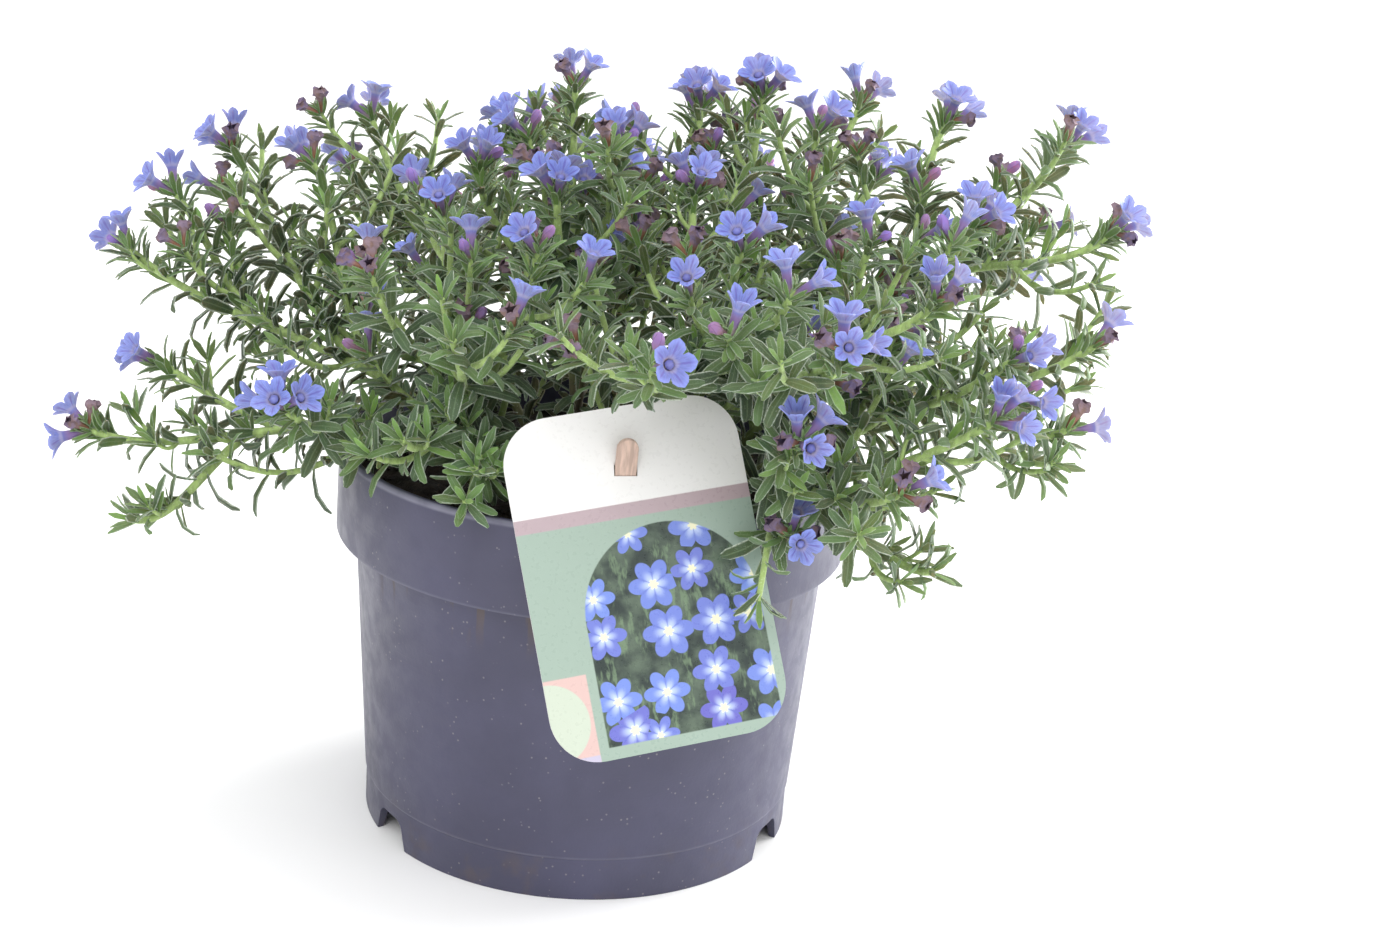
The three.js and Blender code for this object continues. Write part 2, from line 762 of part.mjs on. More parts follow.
// A flower head: a short core that carries open, budding and wilted flowers, spread about its axis
function headSolid(tip, axis, counts, node, shoot, seed) {
  const start = moved(tip, axis, GAP);
  const foot = ring(start, axis, SHOOT_RADIUS, CORE_SIDES);
  const waist = ring(moved(start, axis, CORE_LENGTH * CORE_WAIST), axis, CORE_RADIUS, CORE_SIDES);
  const top = moved(start, axis, CORE_LENGTH);
  const [open, buds, spent] = counts;
  const forms = [...Array(open).fill(bloom), ...Array(buds).fill(bud), ...Array(spent).fill(wilted)];
  const placed = [];
  forms.forEach((form, index) => {
    const root = moved(start, axis, FIRST_ROOT + ROOT_SPACING * index);
    const size = FLORET_LEAST_SIZE + FLORET_SIZE_RANGE * draw(seed, index);
    const limbs = placed.flatMap((floret) => floret.chain);
    const floret = floretDirections(axis, seed, index, forms.length === 1)
      .map((direction) => form(root, direction, size))
      .find(({ chain }) => {
        const [, ...tops] = chain;
        const apart = tops.every((top) => limbs.every((limb) => !touching(top, limb, 0)));
        return apart && isClear(chain, (rod) => rod.shoot !== shoot);
      });
    if (floret) placed.push(floret);
  });
  placed.forEach(({ chain }) => addRods(chain, node, node));
  addRods([{ from: start, to: top, radius: CORE_RADIUS }], node, node);
  return joined([spindle(start, [foot, waist], top), ...placed.map(({ geometry }) => geometry)].map(solid));
}

// Curves of every branch: the leader, then one for each further tip
const branches = BRANCHES.map((branch) => {
  const leader = leaderCurve(branch);
  const others = branch.tips.slice(1).map((tip) => shootCurve(leader, shootEnd(tip), branch.firstFork));
  return { ...branch, curves: [leader, ...others] };
});

// Stems are laid out first, so that flowers and leaves keep clear of all of them
for (const { name, curves } of branches) {
  curves.forEach((curve, i) => {
    const points = curve.getSpacedPoints(Math.ceil(curve.getLength() / ROD_SPACING));
    const radius = i === 0 ? LEADER_RADIUS : SHOOT_RADIUS;
    const chain = points.slice(1).map((to, k) => ({ from: points[k], to, radius }));
    addRods(chain.filter(({ to }) => to.z > SOIL_HEIGHT), name, `${name}_${i}`);
  });
}

const { rise: pegRise, hole: pegHole } = pegFrame();
const pegRod = {
  from: moved(pegHole, pegRise, PEG_FREE_END),
  to: moved(pegHole, pegRise, SOIL_HEIGHT - PEG_HOLE_HEIGHT),
  radius: PEG_WIDTH / 2 + GAP,
};
addRods([pegRod], "label_peg", "label_peg");

const heads = branches.flatMap(({ name, tips, curves }, b) => {
  return tips.flatMap(([, , , ...counts], i) => {
    if (counts.length === 0) return [];
    const node = `flowers_${name}_${i + 1}`;
    const [tip, axis] = [curves[i].getPointAt(1), curves[i].getTangentAt(1)];
    return [{ node, made: headSolid(tip, axis, counts, node, `${name}_${i}`, 10 * b + i) }];
  });
});

const greens = branches.map(({ name, curves }, b) => {
  const stems = curves.map((curve, i) => {
    const [radius, sides] = i === 0 ? [LEADER_RADIUS, LEADER_SIDES] : [SHOOT_RADIUS, SHOOT_SIDES];
    return solid(swept(curve, radius, sides));
  });
  const leaves = curves.flatMap((curve, i) => {
    const bare = i === 0 ? BURIED_LENGTH + BARE_LEADER : BARE_SHOOT;
    return leavesOnShoot(curve, name, `${name}_${i}`, 10 * b + i, bare);
  });
  return { node: `branch_${name}`, made: joined([...stems, ...leaves]) };
});

// A straight hole in the soil for a leader's buried end
function stemHole(leader) {
  const deep = leader.getPointAt(0);
  const high = leader.getPointAt((BURIED_LENGTH + HOLE_TOP) / leader.getLength());
  const way = high.clone().sub(deep).normalize();
  const length = deep.distanceTo(high) + GAP;
  const radius = (LEADER_RADIUS + HOLE_CLEARANCE) / Math.cos(Math.PI / 6);
  const hole = new THREE.CylinderGeometry(radius, radius, length, 6).translate(0, -length / 2, 0);
  hole.applyQuaternion(new THREE.Quaternion().setFromUnitVectors(vector(0, 1, 0), way));
  return solid(hole.translate(high.x, high.y, high.z));
}

const holes = branches.map(({ curves }) => stemHole(curves[0]));
holes.push(solid(pegGeometry(GAP)));

const potted = new THREE.Group();

function add(node, made, colour, roughness) {
  const finish = { color: colour, roughness, metalness: 0, flatShading: true };
  const mesh = new THREE.Mesh(surface(made), new THREE.MeshStandardMaterial(finish));
  mesh.name = node;
  potted.add(mesh);
}

add("pot", potSolid(), 0x5a576b, 0.5);
add("soil", soilSolid(holes), 0x1c1713, 0.95);
add("label", labelSolid(), 0xf2efe9, 0.35);
add("label_peg", solid(pegGeometry(0)), 0xd0b7a9, 0.6);
for (const { node, made } of greens) add(node, made, 0x5d7a45, 0.7);
for (const { node, made } of heads) add(node, made, 0x808ada, 0.55);

export default potted;
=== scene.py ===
"""A lithodora in full bloom in a round nursery pot with its plant label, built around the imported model.

The file is laid out as an add-on: settings, one operator for each piece or group of like pieces, and a
panel. Lengths are in metres, apart from the plant's table and its growth, which are in millimetres.
"""

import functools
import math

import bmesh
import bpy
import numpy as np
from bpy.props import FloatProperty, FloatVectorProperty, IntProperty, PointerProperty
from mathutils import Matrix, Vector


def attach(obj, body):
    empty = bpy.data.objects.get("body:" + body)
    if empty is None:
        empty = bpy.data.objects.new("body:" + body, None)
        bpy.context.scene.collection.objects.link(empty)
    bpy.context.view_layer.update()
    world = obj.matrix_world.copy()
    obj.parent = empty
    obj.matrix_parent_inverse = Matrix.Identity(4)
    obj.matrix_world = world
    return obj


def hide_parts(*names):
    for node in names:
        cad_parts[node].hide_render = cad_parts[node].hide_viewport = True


bl_info = {
    "name": "Potted lithodora",
    "version": (1, 0, 0),
    "blender": (4, 5, 0),
    "location": "3D View > Sidebar > Potted plant",
    "description": "Models a blue-flowered spreading plant, its nursery pot, soil and plant label",
    "category": "Object",
}

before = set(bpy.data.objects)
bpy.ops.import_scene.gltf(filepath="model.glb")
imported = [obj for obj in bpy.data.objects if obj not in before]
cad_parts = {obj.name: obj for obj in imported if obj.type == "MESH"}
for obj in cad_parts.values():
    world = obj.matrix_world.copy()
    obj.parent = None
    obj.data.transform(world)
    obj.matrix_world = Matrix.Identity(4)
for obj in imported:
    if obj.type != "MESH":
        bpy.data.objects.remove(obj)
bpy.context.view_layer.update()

MM = 0.001
HAIR_BREADTH = 1e-6
GOLDEN_ANGLE = 137.5

# Pot, in metres
RIM_RADIUS = 85 * MM
POT_HEIGHT = 131 * MM
LIP_RADIUS = 1.5 * MM
LIP_POINTS = 9
COLLAR_BOTTOM = 101 * MM
COLLAR_FLARE = 0.4 * MM
BODY_TOP_RADIUS = 78.9 * MM
BODY_FOOT_RADIUS = 73.7 * MM
FOOT_STEP_HEIGHT = 14.8 * MM
FOOT_INSET = 0.5 * MM
FOOT_RING_WIDTH = 2.2 * MM
FOOT_RING_DRAFT = 1.2 * MM
WALL = 1.6 * MM
FLOOR_HEIGHT = 10 * MM
FLOOR_THICKNESS = 2 * MM
GAP = 0.3 * MM

# Drainage notches in the foot ring, each with a hole in the floor behind it
NOTCH_AZIMUTHS = (-54, 66, 186)
NOTCH_BLOCK = (20 * MM, 12 * MM, 11 * MM)
NOTCH_TOP_SHARE = 0.66
NOTCH_ROUNDING = 3 * MM
NOTCH_OVERLAP = 1 * MM
NOTCH_MIDDLE = 4.5 * MM
DRAIN_RADIUS = 5 * MM
DRAIN_DEPTH = 12 * MM
DRAIN_INSET = 7 * MM
DRAIN_SIDES = 28

# Soil, in metres, and the rates and height of its lumps for a place in millimetres
SOIL_HEIGHT = 117 * MM
SOIL_CLEARANCE = 2.5 * MM
SOIL_LUMP = 1.1 * MM
SOIL_RIPPLE = 0.8
SOIL_RIPPLE_RATE = 0.095
SOIL_LUMP_RATES = (0.19, 0.23, 0.05)
SOIL_SIDES = 144
SOIL_RINGS = 44
SOIL_MIDDLE = 3 * MM
SOIL_CLOUDS = (("clods", 9 * MM, 2.2 * MM), ("grains", 2.6 * MM, 1.3 * MM))
SOIL_CLOUD_LEVEL = 0.62

# Crumbs: the grid on which the soil's height is looked up, and how they vary
CRUMB_CELL = 4 * MM
CRUMB_DEPTH = 5 * MM
CRUMB_MARGIN = 6 * MM
CRUMB_SIZE = (0.5, 1.3)
CRUMB_STRETCH = 2.5
CRUMB_TILT = 0.8
CRUMB_FLATNESS = 0.6
CRUMB_LIFT = 0.2

# Label and peg, in metres and degrees
LABEL_WIDTH = 72.5 * MM
LABEL_HEIGHT = 103 * MM
LABEL_CORNER = 14.5 * MM
LABEL_THICKNESS = 0.6 * MM
LABEL_AZIMUTH = 13.5
LABEL_LEAN = 26.3
LABEL_TURN = 9.4
LABEL_DROP = 12.6 * MM
BARE_CARD = (0.5, 0.9)
PEG_WIDTH = 6.5 * MM
PEG_TIP_WIDTH = 2.4 * MM
PEG_THICKNESS = 1.8 * MM
PEG_LEAN = 8
PEG_HOLE_HEIGHT = 148 * MM
PEG_FREE_END = 10 * MM
PEG_BELOW_HOLE = 68 * MM
PEG_POINT = 14 * MM
PEG_FLAT_END = 0.02 * MM
PEG_ROUNDING = 0.25 * MM

# Stems, in millimetres and degrees. A taper is a stem's radius at its root and at its end
BURIED_LENGTH = 14
LEADER_RADIUS = 1.5
SHOOT_RADIUS = 1.25
LEADER_TAPER = (1.7, 1.25)
SHOOT_TAPER = (1.55, 1.25)
CORE_TAPER = (1.1, 0.7)
CORE_STEPS = (0, 1.6, 3.2)
LONG_TWIG_TAPER = (1.2, 0.85)
SHORT_TWIG_TAPER = (0.8, 0.5)
ROD_SPACING = 8
LEAST_RISE = 1.2
USUAL_ARCH = 0.36
BEND_REACH = 0.3
FIRST_FORK = 0.38
LAST_FORK = 0.85
FORK_STEP = 0.04
WIDEST_FORK = 38
SHORTEST_SHOOT = 30
FOCUS_HEIGHT = 70
END_RISE_RATE = 1.3
END_RISE_DROP = 6
END_RISE_RANGE = (15, 86)

# Hairs of the stems above a leader's bare foot in millimetres, for a stem 1 mm in radius
BARE_FOOT = 6
DOWN_HAIRS = 8
DOWN_SPACING = 6 * MM
HAIR_RADIUS = 0.042 * MM
HAIR_LENGTH = 0.95 * MM
HAIR_LIFT = 0.45 * MM
HAIR_SEAT = 0.9 * MM
HAIR_TILT = 62

# Flower heads, in millimetres and degrees
HEAD_REACH = 8
CORE_LENGTH = 4.5
CORE_RADIUS = 1.7
FIRST_ROOT = 1.2
ROOT_SPACING = 0.35
FLORET_SIZES = (0.88, 0.2)
FLORET_SPREAD = 34
LONE_SPREAD = 14
SPREAD_STEP = 9
SPREAD_STEPS = 7
SPIN_STEP = 40
SPIN_STEPS = 9
LOBES = 5
TUBE_LENGTH = 9
NECK_RADIUS = 1.5
NOTCH_RISE = 2.6
NOTCH_RADIUS = 3.3
LIMB_RISE = 4.4
LIMB_RADIUS = 6.6
LOBE_REACH = 1.3
BUD_LENGTH = 10
BUD_RADIUS = 1.9
BUD_BELLY = 0.63
WILTED_NECK = 7
WILTED_NECK_RADIUS = 1.4
WILTED_LENGTH = 10
WILTED_RADIUS = 3.3

# Leaves: how far along each row is and how wide the leaf is there, how the full-grown forms bend from
# row to row, and how deep the midrib and the rolled edges lie for a leaf's width
LEAF_ROWS = ((0.0, 0.34), (0.22, 0.8), (0.56, 1.0), (0.86, 0.86), (1.0, 0.32))
LEAF_COLUMNS = 4
YOUNG_ROWS = ((0.0, 0.36), (0.3, 0.84), (0.7, 1.0), (1.0, 0.3))
FULL_GROWN = {"leaf_hooked": (18, 34, 36), "leaf_arched": (12, 26, 24), "leaf_open": (4, 16, 16)}
YOUNG_COLUMNS = 2
MIDRIB_DEPTH = 0.06
EDGE_DEPTH = 0.17
LEAF_THICKNESS = 0.34 * MM
YOUNG_SHARE = 0.58
YOUNG_WIDTH = 2.4 * MM
YOUNG_THICKNESS = 0.3 * MM
YOUNG_BENDS = (6, 16)
SEPAL_SIZE = (6.2 * MM, 1.35 * MM)
SEPAL_THICKNESS = 0.25 * MM
SEPAL_BENDS = (-3, -10)
SEPAL_SEAT = 0.9 * MM
SEPAL_LEAN = (78, 73)

# Round rings of flowers as (radius, height, share of the length), and the lobes' outline of each form of
# open flower from the middle of a lobe to the notch as (radius, degrees from the middle, height)
TUBE_RINGS = ((0.85, 0.6, 0.0), (1.2, 5.0, 0.35), (1.5, 8.6, 0.6), (1.95, 9.6, 0.68))
LIMB_SHARES = (0.3, 0.56, 0.8, 1.0)
LIMB_CURVE = 0.8
LOBE_OUTLINES = {
    "corolla_wide": ((6.9, 0, 13.0), (6.2, 16, 12.8), (5.3, 30, 12.4), (3.6, 36, 11.7)),
    "corolla_funnel": ((6.5, 0, 13.6), (5.8, 15, 13.3), (4.9, 29, 12.75), (3.4, 36, 11.9)),
    "corolla_cup": ((5.3, 0, 14.6), (4.6, 14, 14.2), (4.1, 28, 13.4), (3.0, 36, 12.1)),
}
LOBE_SIDES = 6
LOBE_STEP = 12
PETAL_THICKNESS = 0.22 * MM
ANTHER_RADIUS = 1.65 * MM
ANTHER_HEIGHT = 9.35 * MM
ANTHER_FLATNESS = 0.5
ANTHER_MARK = (1, 0.62, 0, 0)
BUD_RINGS = (
    (0.55, 0.6, 0.0), (0.8, 3.2, 0.3), (1.15, 5.0, 0.48),
    (1.9, 6.8, 0.66), (1.8, 8.2, 0.82), (1.1, 9.5, 0.95),
)
BUD_POINT = 0.5 * MM
BUD_TWISTS = (5.9, 7.5, 8.9)
BUD_TWIST = 14
BUD_FOLD = (0.6, 0.76)
WILTED_RINGS = (
    (0.6, 0.6, 0.0), (0.95, 4.0, 0.35), (1.35, 7.0, 0.6),
    (2.5, 8.2, 0.75), (2.9, 9.2, 0.88), (1.7, 10.2, 1.0),
)
WILTED_TWISTS = (7.5, 9.0)
WILTED_TWIST = (-16, -3)
WILTED_FOLD = (0.7, 0.5)
WILTED_LIMB = 6 * MM
WILTED_CRUMPLE = 0.55 * MM
WILTED_THICKNESS = 0.3 * MM
WILTED_SEEDS = (("wilted_twisted", 1), ("wilted_folded", 4))

# Which form a floret takes, and how large it is beside the form that the solids have
WIDE_SHARE = 0.22
FUNNEL_SHARE = 0.66
OPEN_SIZE = 0.95
FLORET_TURN = 18
CALYX_SIZES = {"open": 1.05, "bud": 0.95, "wilted": 0.95}
CALYX_AGE = 0.7

# How leaves stand on their stems: the turns that are tried, and (least, range) of size, width and rise
LEAF_TURNS = (0, 40, -40, 80, -80, 125, -125, 180)
LEAF_WIDTHS = (0.85, 0.3)
COLLAR_LEAVES = 9
COLLAR_SIZES = (0.48, 0.22)
COLLAR_WIDTH = 0.95
COLLAR_RISES = (28, 30)
COLLAR_AGES = (0.25, 0.6)
COLLAR_DROP = 0.8
COLLAR_TURN = 24
TUFT_LEAVES = 6
TUFT_SIZES = (0.75, 0.09)
TUFT_RISES = (76, -8)
TUFT_AGES = (1.0, -0.17)
TUFT_DROP = 0.5
TUFT_TURNS = (0, 40, -40)
LEAFY_TIP_SIZE = 1.05
YOUNG_SPACING = 2.6
YOUNG_SIZES = (0.85, 0.35)
YOUNG_RISES = (44, 14)
YOUNG_AGES = (0.7, 0.3)
STEP_RANGE = (0.75, 0.5)
BARE_LEADER = 8
BARE_SHOOT = 5

# How full-grown leaves change over (reach, power) of their stem's end: (least, range) of size, what
# freshness takes from it, (least, range) of rise, what freshness adds, and (least, freshness, range) of age
SHOOT_LOOK = ((30, 1.3), (1.1, -0.32), 0.34, (22, 24), 22, (0.0, 0.6, 0.2))
TWIG_LOOK = ((25, 1.0), (1.0, -0.3), 0.3, (24, 22), 14, (0.15, 0.5, 0.0))

# The rods that stand for a leaf, for its length or in millimetres, and how deep they may reach into blooms
LEAF_BEND_SHARE = 0.55
LEAF_TIP_SHARES = (0.85, 0.35)
LEAF_FOOT_LENGTH = 3
LEAF_RODS = (0.9, 0.7)
BLOOM_GAP = -0.9

# Twigs, in millimetres and degrees, with (least, range) of their reach
TWIG_LEAD = 12
TWIG_DEPARTURE = 32
TWIG_TURNS = (0, 70, -70, 140, -140)
LONG_TWIG_REACH = (22, 20)
SHORT_TWIG_REACH = (7, 7)
BASAL_TWIG_REACH = (40, 24)
BASAL_SHOOTS = 4
TWIG_FIRST_LEAF = {True: 4, False: 3}
TWIG_LAST_LEAF = {True: 1, False: 2}
TWIG_START = 8
TWIG_END = 8
TWIGLESS_FOOT = 10
LONG_TWIG_SHARE = 0.9
TWIG_RISING = (0.6, 0.8)
TWIG_ASIDE = (0.1, 0.5)
TWIG_MIDDLE = 0.5
TWIG_RISE = 0.6
TWIG_PAST = 5
TWIG_CLEARANCE = 2.0
TWIG_HANDLES = (0.42, 0.3)
CROWN_LIMITS = ((-168, 170), (-132, 130), (60, 244))

# Single blooms: where the long twigs that may end in one reach, the share of them that do, and what
# they bear, as numbers of open flowers, buds and wilted flowers
BLOOM_LIMITS = ((-155, 157), (-118, 116), (162, 238))
BLOOM_SHARE = 0.55
BLOOM_KINDS = ((1, 0, 0), (1, 0, 1), (0, 0, 2), (0, 1, 2), (1, 1, 0), (0, 0, 1), (0, 0, 3))

# How far before the label leaves keep out of its way, how a line of sight from the front drifts across
# and up the card for its distance before it, and the shares of the card that leaves may cover
LABEL_CLEARANCE = 90 * MM
LABEL_DRIFT = (0.24, 0.14)
LABEL_TOP_SHARE = 0.47
LABEL_SIDE_SHARE = 0.24
LABEL_SIDE_TOP = 0.1

# Studio, in metres, with the camera's sensor in millimetres. A light has its place, size and watts
FLOOR_SIZE = 14
FLOOR_CORNER = 2
FLOOR_DEPTH = 0.02
LIGHT_AIM = (0, 0, 0.15)
SENSOR_WIDTH = 36
FARTHEST = 50
SKY_STRENGTH = 1.06
LIGHTS = (
    ("key_light", (-0.35, -1.7, 1.7), 1.4, 17),
    ("fill_light", (1.5, -0.9, 0.9), 1.4, 6),
    ("top_light", (0.1, 0.5, 2.0), 1.4, 12),
    ("edge_light", (1.1, 0.7, 0.3), 0.9, 32),
)

# Each branch has the spot where its leader leaves the soil, [x, y], and the places that its shoots
# reach, the leader's first: [x, y, z, open flowers, buds, wilted flowers] for the middle of a flower
# head, or [x, y, z] for a leafy tip. A branch that isn't bushy has only short twigs past its foot.
# Sprigs are twigs that hang down, by the number of the shoot that bears them.
BRANCHES = [
    {
        "name": "left_trailing", "base": (-36, -14),
        "arch": 0.5,
        "bushy": False,
        "tips": [
            (-164, -40, 137, 2, 0, 3), (-150, -8, 153, 2, 0, 0), (-94, -76, 162, 4, 0, 0),
            (-140, -58, 113), (-68, -66, 145),
        ],
    },
    {
        "name": "left", "base": (-34, 8),
        "tips": [
            (-166, 20, 184, 2, 1, 0), (-156, 42, 200, 2, 1, 1), (-142, 72, 211, 3, 0, 1),
            (-109, 52, 213, 2, 0, 2), (-128, 24, 165),
        ],
    },
    {
        "name": "left_inner", "base": (-20, -22),
        "tips": [
            (-74, -40, 200, 1, 1, 1), (-53, -16, 214, 2, 0, 1), (-19, -58, 214, 1, 1, 1),
            (-54, -77, 152), (-40, -78, 184), (-32, -80, 146),
        ],
    },
    {
        "name": "left_back", "base": (-22, 28),
        "tips": [
            (-95, 92, 223, 3, 1, 0), (-106, 114, 198, 2, 0, 1), (-54, 122, 202, 3, 1, 0),
            (-118, 88, 172),
        ],
    },
    {
        "name": "back", "base": (3, 34),
        "tips": [
            (2, 128, 203, 3, 0, 1), (48, 124, 207, 2, 1, 0), (-28, 100, 226, 2, 0, 1),
            (24, 100, 232, 3, 1, 0), (18, 126, 166),
        ],
    },
    {
        "name": "centre", "base": (-6, 6),
        "tips": [
            (-18, 60, 245, 2, 0, 1), (-46, 22, 222, 3, 1, 0), (-38, 64, 228, 3, 0, 0),
            (2, 4, 235, 3, 2, 0), (-17, -14, 222, 3, 1, 0),
        ],
    },
    {
        "name": "right_back", "base": (22, 26),
        "tips": [
            (47, 48, 249, 3, 0, 2), (26, 70, 240, 3, 1, 1), (84, 90, 242, 2, 0, 2),
            (94, 114, 210, 3, 1, 0), (126, 88, 184),
        ],
    },
    {
        "name": "right", "base": (36, 8),
        "tips": [
            (154, 46, 239, 3, 0, 1), (66, 26, 242, 2, 1, 1), (113, 62, 242, 3, 0, 1),
            (167, 12, 217, 2, 0, 2), (142, 62, 202),
        ],
    },
    {
        "name": "right_low", "base": (38, -10),
        "tips": [
            (162, -20, 186, 1, 0, 1), (153, -44, 164, 1, 0, 1), (118, -14, 222, 3, 0, 1),
            (130, -60, 190, 2, 1, 1), (84, -38, 219, 1, 1, 0),
        ],
    },
    {
        "name": "front_right", "base": (16, -26),
        "first_fork": 0.6,
        "tips": [
            (43, -58, 219, 2, 1, 0), (58, -100, 215, 2, 0, 0), (27, -20, 228, 3, 1, 1),
            (21, -129, 199, 1, 1, 0), (73, -120, 205, 3, 0, 1), (102, -80, 212, 2, 0, 1),
        ],
    },
    {
        "name": "front_right_low", "base": (30, -28),
        "arch": 0.85,
        "sprigs": {3: [((58, -73, 132), (57, -86, 136), (56, -96, 129), (55, -97, 117))]},
        "tips": [
            (108, -74, 122), (123, -88, 178, 3, 0, 1), (96, -108, 160, 1, 0, 3),
            (66, -90, 138, 2, 0, 2), (64, -114, 175, 3, 0, 2),
        ],
    },
]


# Settings

def colour_setting(name, description, value):
    return FloatVectorProperty(name=name, description=description, subtype="COLOR", default=value)


def length_setting(name, description, value):
    return FloatProperty(name=name, description=description, unit="LENGTH", default=value)


def angle_setting(name, description, degrees):
    return FloatProperty(name=name, description=description, subtype="ANGLE", default=math.radians(degrees))


class PotSettings(bpy.types.PropertyGroup):
    """The nursery pot and its soil."""

    sides: IntProperty(name="Sides", description="Facets round the pot", default=128, min=32)
    edge_rounding: length_setting("Edge rounding", "Radius of the moulded edges", 0.35 * MM)
    colour: colour_setting("Plastic", "Colour of the pot", (0.052, 0.051, 0.094))
    soil_colour: colour_setting("Soil", "Colour of the moist potting soil", (0.011, 0.008, 0.006))
    crumbs: IntProperty(name="Crumbs", description="Loose bits on the soil", default=420, min=0)


class LabelSettings(bpy.types.PropertyGroup):
    """The plant label and its peg."""

    card_colour: colour_setting("Card", "Colour of the unprinted card", (0.78, 0.77, 0.76))
    mint: colour_setting("Mint", "Colour of the printed green field", (0.31, 0.40, 0.34))
    coral: colour_setting("Coral", "Colour of the printed warm field", (0.62, 0.44, 0.41))
    peg_colour: colour_setting("Peg", "Colour of the peg", (0.55, 0.40, 0.33))


class PlantSettings(bpy.types.PropertyGroup):
    """Stems, leaves and flowers."""

    leaf_length: length_setting("Leaf length", "Length of a full-grown leaf", 17.5 * MM)
    leaf_width: length_setting("Leaf width", "Width of a full-grown leaf", 4.0 * MM)
    leaf_spacing: length_setting("Leaf spacing", "Distance along a stem from leaf to leaf", 3.0 * MM)
    twig_spacing: length_setting("Twig spacing", "Distance along a stem from twig to twig", 8.6 * MM)
    leaf_colour: colour_setting("Leaf", "Colour of a full-grown leaf", (0.031, 0.058, 0.031))
    young_colour: colour_setting("Young leaf", "Colour of a young leaf", (0.135, 0.265, 0.04))
    stem_colour: colour_setting("Stem", "Colour of the green stems", (0.33, 0.46, 0.15))
    petal_colour: colour_setting("Petal", "Colour of an open flower", (0.15, 0.195, 0.61))
    bud_colour: colour_setting("Bud", "Colour of the buds", (0.26, 0.145, 0.30))


class StudioSettings(bpy.types.PropertyGroup):
    """Camera and light."""

    focal_length: FloatProperty(name="Focal length", description="Lens on a 36 mm sensor", default=56.57)
    elevation: angle_setting("Elevation", "How far the camera looks down", 18.37)
    roll: angle_setting("Roll", "How far the camera is turned about its line of sight", 4.38)
    distance: length_setting("Distance", "From the camera to the middle of the view", 736.9 * MM)
    target: FloatVectorProperty(
        name="Target",
        description="The middle of the view",
        subtype="TRANSLATION",
        default=(34.9 * MM, 0, 125.3 * MM),
    )


class PottedPlantSettings(bpy.types.PropertyGroup):
    """All settings of the potted plant."""

    pot: PointerProperty(type=PotSettings)
    label: PointerProperty(type=LabelSettings)
    plant: PointerProperty(type=PlantSettings)
    studio: PointerProperty(type=StudioSettings)


# Growth of the plant, in millimetres, with points and directions as arrays

UP = np.array([0.0, 0.0, 1.0])
ASIDE = np.array([1.0, 0.0, 0.0])
SLACK_LEAST = 1e-9


def draw(a, b):
    """The same number between 0 and 1 for the same two numbers."""
    value = math.sin(a * 127.1 + b * 311.7) * 43758.5453
    return value - math.floor(value)


def ranged(pair, share):
    """A least value and a share of its range."""
    return pair[0] + pair[1] * share


def unit(direction):
    return direction / np.linalg.norm(direction)


def between(first, second, degrees):
    """The direction turned from one direction towards another that is square to it."""
    turn = math.radians(degrees)
    return first * math.cos(turn) + second * math.sin(turn)


def outward(azimuth):
    """The level direction at an azimuth from the front towards +X."""
    return between(np.array([0.0, -1.0, 0.0]), ASIDE, azimuth)


def square_to(axis):
    """Two directions square to an axis."""
    first = unit(np.cross(axis, UP if abs(axis[2]) < 0.9 else ASIDE))
    return first, np.cross(axis, first)


def label_frame():
    """The label's across, up, out and side directions and the middle of its face, in metres."""
    facing = outward(LABEL_AZIMUTH)
    side = np.cross(UP, facing)
    slope = between(UP, -facing, LABEL_LEAN)
    across = between(side, slope, LABEL_TURN)
    up = between(slope, -side, LABEL_TURN)
    out = np.cross(across, up)
    lip = facing * (RIM_RADIUS - LIP_RADIUS) + UP * (POT_HEIGHT - LIP_RADIUS)
    touch = lip + out * (LIP_RADIUS + GAP + LABEL_THICKNESS)
    return across, up, out, side, touch - slope * LABEL_DROP


def peg_frame():
    """The peg's side and rise directions and the point where the card's face passes it, in metres."""
    _, up, _, side, centre = label_frame()
    rise = between(UP, np.cross(side, UP), PEG_LEAN)
    return side, rise, centre + up * (PEG_HOLE_HEIGHT - centre[2]) / up[2]


class Bezier:
    """A cubic curve that is followed by length."""

    DIVISIONS = 200

    def __init__(self, points):
        self.points = [np.asarray(point, float) for point in points]
        self.shares = np.linspace(0, 1, self.DIVISIONS + 1)
        steps = np.diff([self.at_share(share) for share in self.shares], axis=0)
        self.lengths = np.concatenate([[0], np.cumsum(np.linalg.norm(steps, axis=1))])
        self.length = self.lengths[-1]

    def at_share(self, t):
        a, b, c, d = self.points
        return a * (1 - t) ** 3 + b * 3 * t * (1 - t) ** 2 + c * 3 * t * t * (1 - t) + d * t**3

    def point(self, distance):
        return self.at_share(np.interp(distance, self.lengths, self.shares))

    def tangent(self, distance):
        t = np.interp(distance, self.lengths, self.shares)
        a, b, c, d = self.points
        return unit((b - a) * (1 - t) ** 2 + (c - b) * 2 * t * (1 - t) + (d - c) * t * t)


def end_direction(tip):
    """The direction in which a shoot ends: low ones level, high ones upright."""
    reach = math.hypot(tip[0], tip[1])
    elevation = math.degrees(math.atan2(tip[2] - FOCUS_HEIGHT, reach))
    rise = min(max(END_RISE_RATE * elevation - END_RISE_DROP, END_RISE_RANGE[0]), END_RISE_RANGE[1])
    return between(np.array([tip[0] / reach, tip[1] / reach, 0.0]), UP, rise)


def shoot_end(place):
    """Where a shoot ends: at its leafy tip, or just below the middle of its flower head."""
    middle = np.array(place[:3], float)
    return middle - end_direction(middle) * HEAD_REACH if len(place) > 3 else middle


